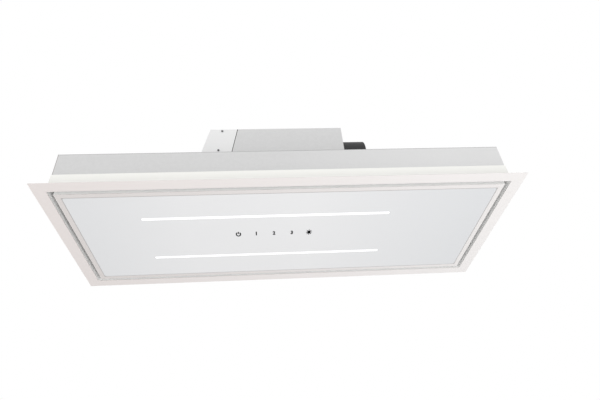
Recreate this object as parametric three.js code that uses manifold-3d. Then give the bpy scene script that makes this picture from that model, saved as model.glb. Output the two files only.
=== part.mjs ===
// Ceiling range hood with perimeter suction: a white flanged frame set in the ceiling, a hinged glass
// panel with two light strips and touch keys, grease filters above it, and a centrifugal fan in a
// sheet box on top of the casing.
//
// Millimetres. +X runs along the hood, +Y from its front to its back, +Z up. The origin is the centre
// of the flange's underside.

import * as THREE from 'three';
import { mergeVertices } from 'three/addons/utils/BufferGeometryUtils.js';
import Module from 'manifold-3d';

const wasm = await Module();
wasm.setup();

// ---------------------------------------------------------------- driving dimensions

// Clearances and making
const fitGap = 0.3; // between two pieces that touch
const pivotGap = 0.4; // round a pin, on the radius
const throughCut = 2; // how far a cutting shape runs past the face it opens
const bite = 1; // how far two shapes that are joined run into each other
const ductSides = 48; // sides of the outlet's round
const fine = 24; // sides of a large round
const coarse = 16; // sides of a small round
const arcSteps = 4; // half the sides of a quarter or half round in an outline
const roundEnd = 0.01; // flat left between the two corners of a round end

// Flange frame and casing
const hoodLength = 1200;
const hoodWidth = 500;
const flangeWidth = 31.4; // outer edge to the collar's inner face
const flangeThickness = 1.5;
const sheet = 1.2; // folded steel sheet
const collarHeight = 53;
const collarOverlap = 23; // how far the casing reaches down inside the collar
const casingTop = 120;

// Glass panel
const slotWidth = 11.8; // suction slot round the panel
const bandWidth = 13.2; // white frame seen round the glass
const panelDepth = 14;
const channelWall = 2; // wall of the panel frame's channel section
const glassThickness = 4;
const glassInset = 0.3; // glass and strips behind the panel frame's face
const glassCorner = 6;
const ledgeWidth = 8; // what the glass and the tray are held by
const trayRim = 6;

// Light strips
const stripLength = 654;
const stripWidth = 10;
const stripSpacing = 190;
const stripCentreX = -48;
const stripCentreY = -1.5;
const diffuserHead = 4.5;
const headOverhang = 1.5; // how far the diffuser's head is wider than its stem, each side
const lightBoardThickness = 1.6;
const channelFlange = 6;
const channelEnd = 10; // how far the light channel runs past the strip

// Touch control
const keysCentreX = -32;
const keysCentreY = -14.7;
const touchBoardLength = 240;
const touchBoardWidth = 34;
const touchBoardThickness = 1.2;
const plugLength = 30;
const plugWidth = 10;
const plugHeight = 6;

// Panel hinges and catches
const hingeFromEdge = 22.8; // panel's back edge to the hinge axis
const hingeHeight = 16; // hinge axis above the flange's underside
const hingeFromEnd = 127; // panel's end to the middle of a hinge
const pinRadius = 2.5;
const knuckleRadius = 5;
const knuckleHalf = 8; // half the leaf knuckle's length
const earThickness = 2;
const footMargin = 3; // filter bay's edge to the bracket's foot
const earSetback = 6; // hinge axis to the back of the bracket's foot
const leafHalf = 22;
const leafReach = 44;
const leafThickness = 1.5;
const catchMargin = 1; // tray's rim to a catch
const catchLength = 40;
const catchWidth = 16;
const catchHeight = 26; // of the magnet's housing below the filter deck
const strikeThickness = 1.2;

// Filter deck, filters and latches
const deckHeight = 46; // underside of the deck
const deckRim = 12;
const filterCount = 3;
const deckEndBorder = 19;
const deckSideBorder = 59;
const deckBar = 14; // between two filters
const bayClearance = 2;
const filterThickness = 12;
const filterDrop = 2; // how far a filter hangs below the deck's underside
const filterWall = 1.5;
const filterLip = 18;
const filterFrontLip = 26; // wider, for the latch
const pleatCount = 22;
const pleatWall = 1.6;
const tabHalf = 60;
const tabReach = 6.5; // how far the tabs and the latch tongue reach over the deck
const tabThickness = 1.6;
const tabLift = 0.8; // above the deck
const latchTravel = 8;
const latchRoom = 1; // between the drawn-back latch and the mesh
const latchHalf = 12;
const latchStemHalf = 10;
const latchStemDepth = 4;
const latchBack = 10; // filter's front edge to the latch's stem
const pullHalf = 26;
const pullDepth = 14;
const pullHeight = 5;

// Fan
const impellerFromSeam = 76; // foot of the box's sloping end to the impeller's rim
const impellerInset = 42.5; // box's face to the impeller's rim, with the fan in the middle
const fanOffset = 14.5; // fan's axis behind the middle of the box
const bladeDepth = 17;
const bladeCount = 36;
const bladeThickness = 1.2;
const bladeLean = 0.16; // radians that a blade's root trails its tip
const impellerHeadroom = 19.3; // impeller to the scroll's top
const impellerWall = 2.5;
const throatInset = 15; // impeller's rim to the inlet's throat
const bellDepth = 18; // throat to mouth, on the radius
const inletLip = 12; // flat ring round the mouth
const bellShare = 0.9; // of the inlet's height that its curve takes
const inletWall = 2;
const inletRise = 15; // throat's edge above the casing's top sheet
const inletAxialGap = 2;
const cutoffGap = 8; // impeller to the scroll's tongue
const scrollWall = 2;
const tongueRise = 4; // duct's wall past the fan's axis or the outlet's bore
const lidThickness = 2.5;
const lidHeadroom = 4.7; // lid to the box's top sheet

// Motor
const motorRadius = 44;
const motorHeight = 74;
const motorWall = 2;
const motorFlange = 52;
const motorGap = 5; // round the motor, inside the impeller's well
const shaftRadius = 5;
const bearingRadius = 13;
const bearingHeight = 8;
const seatWall = 2.7;
const rotorRadius = 23.5;
const stackHeight = 40;
const airGap = 0.6;
const hubRadius = 12;
const hubHeight = 14;

// Blower box, end cover and outlet
const boxSetback = 81.3; // casing's front face to the box's
const boxDepth = 275;
const boxRight = 175;
const boxHeight = 165; // above the casing's top
const boxBase = 331; // length along the casing's top
const seamLean = 9.6; // degrees from upright
const boxFoot = 14;
const coverBase = 90;
const coverLean = 13.5; // degrees from upright
const tongueReach = 62; // box's front tongue behind the end cover
const screwRadius = 1.8;
const screwHead = 3;
const screwHeadHeight = 1.8;
const screwLength = 9;
const driveSlotWidth = 0.8;
const upperScrewBelowTop = 7.7;
const lowerScrewBelowTop = 82.9;
const upperScrewFromSeam = 42.5;
const lowerScrewFromSeam = 38.5;
const outletMargin = 8; // outlet's tube to the top of the box, with the outlet in the middle
const outletDrop = 2.5; // outlet's axis below the middle of the box
const outletSideGap = 0.5; // outlet's flange to the box's front sheet
const outletWall = 2;
const outletLength = 65; // outside the box
const outletFlange = 3.8;
const outletFlangeThickness = 2.2;

// Non-return flaps
const flapFromWall = 8; // box's outer face to the flap's pin
const flapThickness = 1.2;
const flapPinRadius = 1.5;
const flapKnuckle = 3;
const flapRoot = 4; // pin's axis to the flap's straight edge
const flapKnuckleLength = 14;
const flapKnuckleOffset = 30; // middle of the duct to a pair of knuckles

// Electrics in the end cover
const electricsShift = 4; // from the middle of the cover's foot towards the box
const electricsEndGap = 5.4; // terminal block to the cover's back sheet
const boardWidth = 58;
const boardThickness = 1.6;
const boardLift = 8;
const postRadius = 2.5;
const boardMargin = 13; // board's end to the transformer and to the plug row
const transformerLength = 34;
const transformerWidth = 30;
const transformerHeight = 22;
const relayLength = 15;
const relayWidth = 19;
const relayHeight = 15;
const relayGap = 3;
const plugRowLength = 44;
const plugRowWidth = 9;
const plugRowHeight = 11;
const electricsGap = 8; // between two of the pieces
const driverLength = 60;
const driverWidth = 50;
const driverHeight = 26;
const driverEar = 5;
const driverEarThickness = 2;
const capacitorRadius = 18;
const capacitorHeight = 62;
const tagOffset = 7; // capacitor's axis to a tag
const tagWidth = 6;
const tagHeight = 8;
const tagThickness = 1;
const terminalLength = 46;
const terminalDepth = 18;
const terminalHeight = 20;
const terminalWays = 3;
const wireHole = 2.5;
const glandBore = 4.5;
const glandThread = 8;
const glandNut = 12.5;
const glandNutHeight = 6;
const glandStep = 2; // nut to cap, and the cap's dome
const glandReach = 20; // outside the cover
const glandHeight = 60; // above the casing's top

// Suspension brackets
const bracketFromEnd = 48; // casing's end to the bracket's outer edge
const bracketFromSide = 44; // casing's side to the bracket's edge
const bracketWidth = 50;
const bracketFoot = 40;
const bracketPad = 45;
const bracketHeight = 30;
const bracketSheet = 2.5;
const rodSlotWidth = 9;
const rodSlotLength = 22;

// ---------------------------------------------------------------- dependent sizes and places

const innerLength = hoodLength - 2 * flangeWidth;
const innerWidth = hoodWidth - 2 * flangeWidth;
const casingLength = innerLength - 2 * fitGap;
const casingWidth = innerWidth - 2 * fitGap;
const casingBottom = collarHeight - collarOverlap;
const onCasing = casingTop + fitGap;

const panelLength = innerLength - 2 * slotWidth;
const panelWidth = innerWidth - 2 * slotWidth;
const glassOpenLength = panelLength - 2 * bandWidth;
const glassOpenWidth = panelWidth - 2 * bandWidth;
const glassTop = glassInset + glassThickness;
const ledgeBottom = glassTop + fitGap;
const ledgeTop = ledgeBottom + sheet;
const trayBottom = ledgeTop + fitGap;
const trayTop = trayBottom + sheet;
const onTray = trayTop + fitGap;
const diffuserTop = onTray + diffuserHead;
const lightBoardBottom = diffuserTop + fitGap;
const lightBoardTop = lightBoardBottom + lightBoardThickness;
const headWidth = stripWidth + 2 * headOverhang;
const channelInner = headWidth + 2 * fitGap;
const channelTop = lightBoardTop + fitGap + sheet;

const hingeY = panelWidth / 2 - hingeFromEdge;
const hingeX = panelLength / 2 - hingeFromEnd;
const earInner = knuckleHalf + fitGap;
const earOuter = earInner + earThickness;
const underDeck = deckHeight - fitGap;
const catchY = -glassOpenWidth / 2 + fitGap + sheet + catchMargin + catchWidth / 2;
const catchBottom = underDeck - catchHeight;

const deckLength = casingLength - 2 * (sheet + fitGap);
const deckWidth = casingWidth - 2 * (sheet + fitGap);
const deckTop = deckHeight + sheet;
const bayLength = (deckLength - 2 * deckEndBorder - (filterCount - 1) * deckBar) / filterCount;
const bayWidth = deckWidth - 2 * deckSideBorder;
const bayPitch = bayLength + deckBar;
const filterLength = bayLength - 2 * bayClearance;
const filterWidth = bayWidth - 2 * bayClearance;
const filterBottom = deckHeight - filterDrop;
const filterTop = filterBottom + filterThickness;
const tabBottom = deckTop + tabLift;
const footFront = bayWidth / 2 + footMargin;
const latchFront = -filterWidth / 2 - bayClearance - tabReach;
const stemFront = -filterWidth / 2 + latchBack;

const boxFront = -casingWidth / 2 + boxSetback;
const boxBack = boxFront + boxDepth;
const boxTop = casingTop + boxHeight;
const seamBase = boxRight - boxBase;

const impellerRadius = boxDepth / 2 - impellerInset;
const fanX = seamBase + impellerFromSeam + impellerRadius;
const fanY = (boxFront + boxBack) / 2 + fanOffset;
const inletThroat = impellerRadius - throatInset;
const inletMouth = inletThroat + bellDepth;
const inletFlange = inletMouth + inletLip;
const inletTop = casingTop + inletRise;
const lidBottom = boxTop - sheet - lidHeadroom - lidThickness;
const scrollTop = lidBottom - fitGap;
const impellerBottom = inletTop + inletAxialGap;
const impellerTop = scrollTop - impellerHeadroom;
const motorTop = lidBottom - fitGap;
const motorBottom = motorTop - motorHeight;
const wellRadius = motorRadius + motorGap;
const hubTop = motorBottom - motorGap - impellerWall;
const hubBottom = hubTop - hubHeight;
const stackMiddle = (motorTop + motorBottom) / 2;
const statorRadius = motorRadius - motorWall - fitGap;

const outletRadius = boxHeight / 2 - outletMargin;
const outletY = boxFront + sheet + outletSideGap + outletFlange + outletRadius;
const outletZ = casingTop + boxHeight / 2 - outletDrop;
const outletFlangeBack = boxRight - sheet - fitGap;
const outletFlangeFront = outletFlangeBack - outletFlangeThickness;
const scrollEnd = outletFlangeFront - fitGap;
const scrollFront = boxFront + sheet + fitGap + scrollWall;
const boreRadius = outletRadius - outletWall;
const scrollBack = Math.max(fanY, outletY + boreRadius) + tongueRise;
const flapX = boxRight + flapFromWall;
const flapPinHalf = boreRadius - 2 * pivotGap;

// ---------------------------------------------------------------- shapes

// A closed surface with shared corners, no empty triangles and its faces pointing out.
function closedSurface(geometry) {
  const bare = new THREE.BufferGeometry();
  bare.setAttribute('position', geometry.getAttribute('position'));
  if (geometry.index) bare.setIndex(geometry.index);
  const merged = mergeVertices(bare);
  const corner = merged.index.array;
  const kept = [];
  for (let i = 0; i < corner.length; i += 3) {
    const [a, b, c] = corner.subarray(i, i + 3);
    if (a !== b && b !== c && c !== a) kept.push(a, b, c);
  }
  const points = merged.getAttribute('position');
  const [p, q, r] = [new THREE.Vector3(), new THREE.Vector3(), new THREE.Vector3()];
  let volume = 0;
  for (let i = 0; i < kept.length; i += 3) {
    p.fromBufferAttribute(points, kept[i]);
    q.fromBufferAttribute(points, kept[i + 1]);
    r.fromBufferAttribute(points, kept[i + 2]);
    volume += p.dot(q.cross(r));
  }
  merged.setIndex(volume < 0 ? kept.reverse() : kept);
  return merged;
}

function toSolid(geometry) {
  const surface = closedSurface(geometry);
  const vertProperties = new Float32Array(surface.getAttribute('position').array);
  const triVerts = new Uint32Array(surface.index.array);
  return new wasm.Manifold(new wasm.Mesh({ numProp: 3, vertProperties, triVerts }));
}

function fromSolid(solid) {
  const mesh = solid.getMesh();
  const geometry = new THREE.BufferGeometry();
  geometry.setAttribute('position', new THREE.BufferAttribute(mesh.vertProperties, 3));
  geometry.setIndex(new THREE.BufferAttribute(mesh.triVerts, 1));
  return geometry;
}

const join = (...shapes) => fromSolid(shapes.map(toSolid).reduce((all, next) => all.add(next)));

const cut = (shape, ...tools) =>
  fromSolid(tools.map(toSolid).reduce((rest, tool) => rest.subtract(tool), toSolid(shape)));

function block(x0, x1, y0, y1, z0, z1) {
  const box = new THREE.BoxGeometry(x1 - x0, y1 - y0, z1 - z0);
  return box.translate((x0 + x1) / 2, (y0 + y1) / 2, (z0 + z1) / 2);
}

// A block centred on x and y.
function plate(x, y, length, width, z0, z1) {
  return block(x - length / 2, x + length / 2, y - width / 2, y + width / 2, z0, z1);
}

function polygon(points) {
  return new THREE.Shape(points.map(([u, v]) => new THREE.Vector2(u, v)));
}

function roundedOutline(length, width, radius) {
  const [u, v] = [length / 2, width / 2];
  const outline = new THREE.Shape();
  outline.absarc(u - radius, v - radius, radius, 0, Math.PI / 2);
  outline.absarc(-u + radius, v - radius, radius, Math.PI / 2, Math.PI);
  outline.absarc(-u + radius, -v + radius, radius, Math.PI, 1.5 * Math.PI);
  outline.absarc(u - radius, -v + radius, radius, 1.5 * Math.PI, 2 * Math.PI);
  outline.closePath();
  return outline;
}

// An outline in x and y, carried from z0 to z1.
function upright(outline, z0, z1, holes = [], curveSegments = arcSteps) {
  outline.holes = holes;
  const solid = new THREE.ExtrudeGeometry(outline, { depth: z1 - z0, bevelEnabled: false, curveSegments });
  return solid.translate(0, 0, z0);
}

// An outline in y and z, carried from x0 to x1.
function alongX(outline, x0, x1, holes = [], curveSegments = 2 * arcSteps) {
  const turn = new THREE.Matrix4().set(0, 0, 1, 0, 1, 0, 0, 0, 0, 1, 0, 0, 0, 0, 0, 1);
  return upright(outline, x0, x1, holes, curveSegments).applyMatrix4(turn);
}

// An outline in x and z, carried from y0 to y1.
function alongY(outline, y0, y1, holes = []) {
  return upright(outline, -y1, -y0, holes).rotateX(Math.PI / 2);
}

// A rectangular ring.
function ring(outerLength, outerWidth, innerSpan, innerDepth, z0, z1) {
  const outer = polygon(corners(outerLength, outerWidth));
  return upright(outer, z0, z1, [polygon(corners(innerSpan, innerDepth))]);
}

function corners(length, width) {
  const [u, v] = [length / 2, width / 2];
  return [[-u, -v], [u, -v], [u, v], [-u, v]];
}

// A round piece about the z axis from its section, a closed list of [radius, height].
function turned(section, sides = fine) {
  const points = [...section, section[0]].map(([r, z]) => new THREE.Vector2(r, z));
  return new THREE.LatheGeometry(points, sides).rotateX(Math.PI / 2);
}

function rod(radius, z0, z1, sides = fine) {
  const cylinder = new THREE.CylinderGeometry(radius, radius, z1 - z0, sides);
  return cylinder.rotateX(Math.PI / 2).translate(0, 0, (z0 + z1) / 2);
}

function washer(outer, inner, z0, z1, sides = fine) {
  return turned([[inner, z0], [outer, z0], [outer, z1], [inner, z1]], sides);
}

// ---------------------------------------------------------------- finishes and assembly

const hood = new THREE.Group();

const finish = (color, roughness, metalness = 0) => ({ color, roughness, metalness });
const whitePaint = finish(0xece8e5, 0.45);
const galvanised = finish(0xd8d9d9, 0.5, 0.7);
const lightSteel = finish(0xe7e7e6, 0.5, 0.5);
const bareSteel = finish(0xb9bbbd, 0.4, 0.9);
const aluminium = finish(0xc9cbcd, 0.4, 0.9);
const whiteGlass = finish(0xe6e7e9, 0.12);
const opal = finish(0xfdfdfd, 0.3);
const whitePlastic = finish(0xe4e4e0, 0.5);
const blackPlastic = finish(0x3c3c3e, 0.6);
const greyPlastic = finish(0x85878a, 0.6);
const circuit = finish(0x1f6b3c, 0.5);
const darkSteel = finish(0x55585b, 0.4, 0.8);
const magnetBlack = finish(0x2b2b2c, 0.5);

function add(name, geometry, look, parent = hood) {
  const material = new THREE.MeshStandardMaterial({ ...look, flatShading: true });
  const mesh = new THREE.Mesh(closedSurface(geometry), material);
  mesh.name = name;
  parent.add(mesh);
  return mesh;
}

// ---------------------------------------------------------------- flange frame and casing

function flangeFrame() {
  const flange = ring(hoodLength, hoodWidth, innerLength, innerWidth, 0, flangeThickness);
  const [length, width] = [innerLength + 2 * sheet, innerWidth + 2 * sheet];
  return join(flange, ring(length, width, innerLength, innerWidth, 0, collarHeight));
}

function casing() {
  const shell = plate(0, 0, casingLength, casingWidth, casingBottom, casingTop);
  const [length, width] = [casingLength - 2 * sheet, casingWidth - 2 * sheet];
  const inside = plate(0, 0, length, width, casingBottom - throughCut, casingTop - sheet);
  return cut(shell, inside, inletHole(casingTop));
}

// The round hole that the inlet ring passes, cut through a sheet at height z.
function inletHole(z) {
  const hole = rod(inletMouth + fitGap, z - 2 * throughCut, z + 2 * throughCut + scrollWall);
  return hole.translate(fanX, fanY, 0);
}

// ---------------------------------------------------------------- glass panel

function panelFrame() {
  const outer = ring(panelLength, panelWidth, glassOpenLength, glassOpenWidth, 0, panelDepth);
  const groove = ring(
    panelLength - 2 * channelWall,
    panelWidth - 2 * channelWall,
    glassOpenLength + 2 * channelWall,
    glassOpenWidth + 2 * channelWall,
    channelWall,
    panelDepth + throughCut,
  );
  const ledge = ring(
    glassOpenLength + channelWall,
    glassOpenWidth + channelWall,
    glassOpenLength - 2 * ledgeWidth,
    glassOpenWidth - 2 * ledgeWidth,
    ledgeBottom,
    ledgeTop,
  );
  return join(cut(outer, groove), ledge);
}

const stripPlaces = [
  ['near', stripCentreY - stripSpacing / 2],
  ['far', stripCentreY + stripSpacing / 2],
];

// A long bar with round ends, at a strip's place.
function stripBar(y, length, width, z0, z1) {
  return upright(roundedOutline(length, width, width / 2 - roundEnd), z0, z1).translate(stripCentreX, y, 0);
}

// The holes that the strips shine through, cut past both faces of a sheet.
const stripHoles = (z0, z1) =>
  stripPlaces.map(([, y]) => stripBar(y, stripLength, stripWidth, z0 - throughCut, z1 + throughCut));

function glassPanel() {
  const outline = roundedOutline(glassOpenLength - 2 * fitGap, glassOpenWidth - 2 * fitGap, glassCorner);
  return cut(upright(outline, glassInset, glassTop), ...stripHoles(glassInset, glassTop));
}

function panelTray() {
  const length = glassOpenLength - 2 * fitGap;
  const width = glassOpenWidth - 2 * fitGap;
  const plugWindow = plate(
    keysCentreX,
    keysCentreY,
    plugLength + 2 * throughCut,
    plugWidth + 2 * throughCut,
    trayBottom - throughCut,
    trayTop + throughCut,
  );
  const blank = plate(0, 0, length, width, trayBottom, trayTop);
  const rim = ring(length, width, length - 2 * sheet, width - 2 * sheet, trayBottom, trayTop + trayRim);
  return join(cut(blank, plugWindow, ...stripHoles(trayBottom, trayTop)), rim);
}

// The opal bar that fills a strip's hole in glass and tray, with a head that rests on the tray.
function diffuser(y) {
  const [length, width] = [stripLength - 2 * fitGap, stripWidth - 2 * fitGap];
  const stem = stripBar(y, length, width, glassInset, onTray + bite);
  return join(stem, plate(stripCentreX, y, stripLength + 2 * headOverhang, headWidth, onTray, diffuserTop));
}

function lightBoard(y) {
  return plate(stripCentreX, y, stripLength, headWidth, lightBoardBottom, lightBoardTop);
}

// The hat-shaped aluminium channel over a strip's board.
function lightChannel(y) {
  const [inner, outer] = [channelInner / 2, channelInner / 2 + sheet];
  const foot = outer + channelFlange;
  const section = polygon([
    [y - foot, onTray],
    [y - inner, onTray],
    [y - inner, channelTop - sheet],
    [y + inner, channelTop - sheet],
    [y + inner, onTray],
    [y + foot, onTray],
    [y + foot, onTray + sheet],
    [y + outer, onTray + sheet],
    [y + outer, channelTop],
    [y - outer, channelTop],
    [y - outer, onTray + sheet],
    [y - foot, onTray + sheet],
  ]);
  const half = stripLength / 2 + channelEnd;
  return alongX(section, stripCentreX - half, stripCentreX + half);
}

function touchBoard() {
  const bottom = glassTop + fitGap;
  const top = bottom + touchBoardThickness;
  const board = plate(keysCentreX, keysCentreY, touchBoardLength, touchBoardWidth, bottom, top);
  return join(board, plate(keysCentreX, keysCentreY, plugLength, plugWidth, bottom, top + plugHeight));
}

// ---------------------------------------------------------------- panel hinges and catches

const circleHole = (u, v, radius) => {
  const hole = new THREE.Path();
  hole.absarc(u, v, radius, 0, 2 * Math.PI);
  return hole;
};

// One ear of a hinge bracket: an eye round the pin, leaning forward up to the foot.
function hingeEar(x0, x1) {
  const outline = new THREE.Shape();
  outline.moveTo(hingeY - earSetback, underDeck);
  outline.lineTo(footFront, underDeck);
  outline.absarc(hingeY, hingeHeight, knuckleRadius, Math.PI, 2 * Math.PI + Math.PI / 3);
  outline.closePath();
  return alongX(outline, x0, x1, [circleHole(hingeY, hingeHeight, pinRadius + pivotGap)]);
}

function hingeBracket(x) {
  const footBack = hingeY - earSetback;
  const foot = block(-earOuter, earOuter, footFront, footBack, underDeck - earThickness, underDeck);
  return join(hingeEar(-earOuter, -earInner), hingeEar(earInner, earOuter), foot).translate(x, 0, 0);
}

function hingeLeaf(x) {
  const strap = block(-leafHalf, leafHalf, hingeY - leafReach, hingeY, onTray, onTray + leafThickness);
  const web = block(-knuckleHalf, knuckleHalf, hingeY - knuckleRadius, hingeY, onTray, hingeHeight);
  const onAxis = (round) => round.rotateY(Math.PI / 2).translate(0, hingeY, hingeHeight);
  const eye = onAxis(rod(knuckleRadius, -knuckleHalf, knuckleHalf));
  const bore = onAxis(rod(pinRadius + pivotGap, -leafHalf, leafHalf));
  return cut(join(strap, web, eye), bore).translate(x, 0, 0);
}

function hingePin(x) {
  const half = earOuter + earThickness;
  return rod(pinRadius, -half, half, coarse).rotateY(Math.PI / 2).translate(x, hingeY, hingeHeight);
}

function catchMagnet(x) {
  const housing = plate(x, catchY, catchLength, catchWidth, catchBottom, underDeck);
  const ears = plate(x, catchY, catchLength + catchWidth, catchWidth, underDeck - earThickness, underDeck);
  return join(housing, ears);
}

// A bridge of sheet on the tray that the magnet holds.
function catchStrike(x) {
  const top = catchBottom - fitGap;
  const [half, foot] = [catchLength / 2, catchLength / 2 + catchWidth / 2];
  const section = polygon([
    [x - foot, onTray],
    [x - half, onTray],
    [x - half, top - strikeThickness],
    [x + half, top - strikeThickness],
    [x + half, onTray],
    [x + foot, onTray],
    [x + foot, onTray + strikeThickness],
    [x + half + strikeThickness, onTray + strikeThickness],
    [x + half + strikeThickness, top],
    [x - half - strikeThickness, top],
    [x - half - strikeThickness, onTray + strikeThickness],
    [x - foot, onTray + strikeThickness],
  ]);
  return alongY(section, catchY - catchWidth / 2, catchY + catchWidth / 2);
}

// ---------------------------------------------------------------- filters

const filterPlaces = [];
for (let i = 0; i < filterCount; i += 1) filterPlaces.push((i - (filterCount - 1) / 2) * bayPitch);

function filterDeck() {
  const [low, high] = [deckHeight - throughCut, deckTop + throughCut];
  const bays = filterPlaces.map((x) => plate(x, 0, bayLength, bayWidth, low, high));
  const sheetPlate = cut(plate(0, 0, deckLength, deckWidth, deckHeight, deckTop), ...bays);
  const [length, width] = [deckLength - 2 * sheet, deckWidth - 2 * sheet];
  return join(sheetPlate, ring(deckLength, deckWidth, length, width, deckHeight, deckTop + deckRim));
}

// A frame of channel section round the mesh, two tabs at its back, and room for the latch in front.
function filterFrame() {
  const [u, v] = [filterLength / 2, filterWidth / 2];
  const outer = block(-u, u, -v, v, filterBottom, filterTop);
  const pocket = block(
    -u + filterWall,
    u - filterWall,
    -v + filterWall,
    v - filterWall,
    filterBottom + filterWall,
    filterTop - filterWall,
  );
  const window = block(
    -u + filterLip,
    u - filterLip,
    -v + filterFrontLip,
    v - filterLip,
    filterBottom - throughCut,
    filterTop + throughCut,
  );
  const tongueSlot = block(
    -latchHalf - fitGap,
    latchHalf + fitGap,
    -v - throughCut,
    -v + throughCut + filterWall,
    tabBottom - fitGap,
    tabBottom + tabThickness + fitGap,
  );
  const stemSlot = block(
    -latchStemHalf - fitGap,
    latchStemHalf + fitGap,
    stemFront - fitGap,
    stemFront + latchStemDepth + latchTravel + fitGap,
    filterBottom - throughCut,
    filterBottom + filterWall + fitGap,
  );
  const tabEnd = v + bayClearance + tabReach;
  const tabs = block(-tabHalf, tabHalf, v - filterWall, tabEnd, tabBottom, tabBottom + tabThickness);
  return join(cut(outer, pocket, window, tongueSlot, stemSlot), tabs);
}

// Expanded aluminium mesh folded into pleats.
function filterMesh() {
  const inset = filterWall + fitGap;
  const half = filterLength / 2 - inset;
  const low = filterBottom + inset;
  const high = filterTop - inset - pleatWall;
  const step = (2 * half) / pleatCount;
  const lower = [];
  for (let i = 0; i <= pleatCount; i += 1) lower.push([-half + i * step, i % 2 ? high : low]);
  const upper = lower.map(([x, z]) => [x, z + pleatWall]).reverse();
  const front = stemFront + latchStemDepth + latchTravel + latchRoom;
  return alongY(polygon([...lower, ...upper]), front, filterWidth / 2 - inset);
}

function filterLatch() {
  const back = stemFront + latchStemDepth;
  const pullTop = filterBottom - fitGap;
  const pullBottom = pullTop - pullHeight;
  const tongue = block(-latchHalf, latchHalf, latchFront, back, tabBottom, tabBottom + tabThickness);
  const stem = block(-latchStemHalf, latchStemHalf, stemFront, back, pullBottom, tabBottom + bite);
  const pull = block(-pullHalf, pullHalf, stemFront, stemFront + pullDepth, pullBottom, pullTop);
  const fingerHollow = rod(pullHeight, -pullHalf + filterWall, pullHalf - filterWall, coarse);
  fingerHollow.rotateY(Math.PI / 2).translate(0, stemFront + pullDepth, filterBottom - pullHeight);
  return cut(join(tongue, stem, pull), fingerHollow);
}

// ---------------------------------------------------------------- fan

// The bell-mouthed ring that leads the air into the impeller.
function inletRing() {
  const top = casingTop - sheet - fitGap;
  const bottom = top - inletWall;
  const inside = [];
  const outside = [];
  const steps = 4;
  for (let i = 0; i <= steps; i += 1) {
    const a = (i / steps) * (Math.PI / 2);
    const radius = inletMouth - bellDepth * Math.sin(a);
    const height = bottom + (inletTop - bottom) * (1 - Math.cos(a)) * bellShare;
    inside.push([radius, height]);
    outside.unshift([radius + inletWall * Math.sin(a), height + inletWall * Math.cos(a)]);
  }
  inside.push([inletThroat, inletTop]);
  outside.unshift([inletThroat + inletWall, inletTop]);
  return turned([[inletFlange, bottom], ...inside, ...outside, [inletFlange, top]]);
}

// The scroll's outline: a spiral that opens anticlockwise from the tongue, with the outlet duct.
function scrollForm(offset, z0, z1, end) {
  const startRadius = impellerRadius + cutoffGap;
  const endRadius = fanY - scrollFront;
  const turn = 1.5 * Math.PI;
  const steps = 27;
  const outline = [[0, 0]];
  for (let i = 0; i <= steps; i += 1) {
    const a = (i / steps) * turn;
    const radius = startRadius + (endRadius - startRadius) * (i / steps) + offset;
    outline.push([radius * Math.cos(a), radius * Math.sin(a)]);
  }
  const spiral = upright(polygon(outline), z0, z1).translate(fanX, fanY, 0);
  return join(spiral, block(fanX, end, scrollFront - offset, scrollBack + offset, z0, z1));
}

function scrollHousing() {
  const outside = scrollForm(scrollWall, onCasing, scrollTop, scrollEnd);
  const inside = scrollForm(0, onCasing + scrollWall, scrollTop + throughCut, scrollEnd + throughCut);
  return cut(outside, inside, inletHole(onCasing));
}

function scrollLid() {
  return scrollForm(scrollWall, lidBottom, lidBottom + lidThickness, scrollEnd);
}

// One curved blade, from the eye's edge to the impeller's rim.
function bladeOutline(angle) {
  const steps = 3;
  const side = (shift) => {
    const points = [];
    for (let i = 0; i <= steps; i += 1) {
      const share = i / steps;
      const radius = impellerRadius - fitGap - bladeDepth * (1 - share);
      const a = angle + bladeLean * share * share + shift / radius;
      points.push([radius * Math.cos(a), radius * Math.sin(a)]);
    }
    return points;
  };
  return polygon([...side(-bladeThickness / 2), ...side(bladeThickness / 2).reverse()]);
}

// Blades between a rim ring and a back plate, whose well goes round the motor down to the hub.
function impeller() {
  const eye = impellerRadius - bladeDepth - impellerWall;
  const plateBottom = impellerTop - impellerWall;
  const bore = shaftRadius + fitGap;
  const body = turned([
    [impellerRadius, impellerTop],
    [wellRadius, impellerTop],
    [wellRadius, hubTop + impellerWall],
    [bore, hubTop + impellerWall],
    [bore, hubBottom],
    [hubRadius, hubBottom],
    [hubRadius, hubTop],
    [wellRadius + impellerWall, hubTop],
    [wellRadius + impellerWall, plateBottom],
    [impellerRadius, plateBottom],
  ]);
  const rim = washer(impellerRadius, eye + impellerWall, impellerBottom, impellerBottom + impellerWall);
  const blades = [];
  for (let i = 0; i < bladeCount; i += 1) {
    const outline = bladeOutline((i / bladeCount) * 2 * Math.PI);
    blades.push(upright(outline, impellerBottom + bite, plateBottom + bite));
  }
  return join(body, rim, ...blades);
}

// ---------------------------------------------------------------- motor

const seatRadius = bearingRadius + fitGap;
const seatOuter = seatRadius + seatWall;

function motorCan() {
  const shoulder = motorTop - 2 * motorWall;
  const seatBottom = shoulder - bearingHeight - motorWall;
  return turned([
    [seatRadius, seatBottom],
    [seatOuter, seatBottom],
    [seatOuter, shoulder],
    [motorRadius - motorWall, shoulder],
    [motorRadius - motorWall, motorBottom + 2 * motorWall + fitGap],
    [motorRadius, motorBottom + 2 * motorWall + fitGap],
    [motorRadius, motorTop - motorWall],
    [motorFlange, motorTop - motorWall],
    [motorFlange, motorTop],
    [seatRadius, motorTop],
  ]);
}

function motorEndBell() {
  const seatFloor = motorBottom + 2 * motorWall;
  return turned([
    [shaftRadius + fitGap, motorBottom],
    [motorRadius, motorBottom],
    [motorRadius, seatFloor],
    [seatOuter, seatFloor],
    [seatOuter, seatFloor + bearingHeight + fitGap],
    [seatRadius, seatFloor + bearingHeight + fitGap],
    [seatRadius, seatFloor],
    [shaftRadius + fitGap, seatFloor],
  ]);
}

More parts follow.
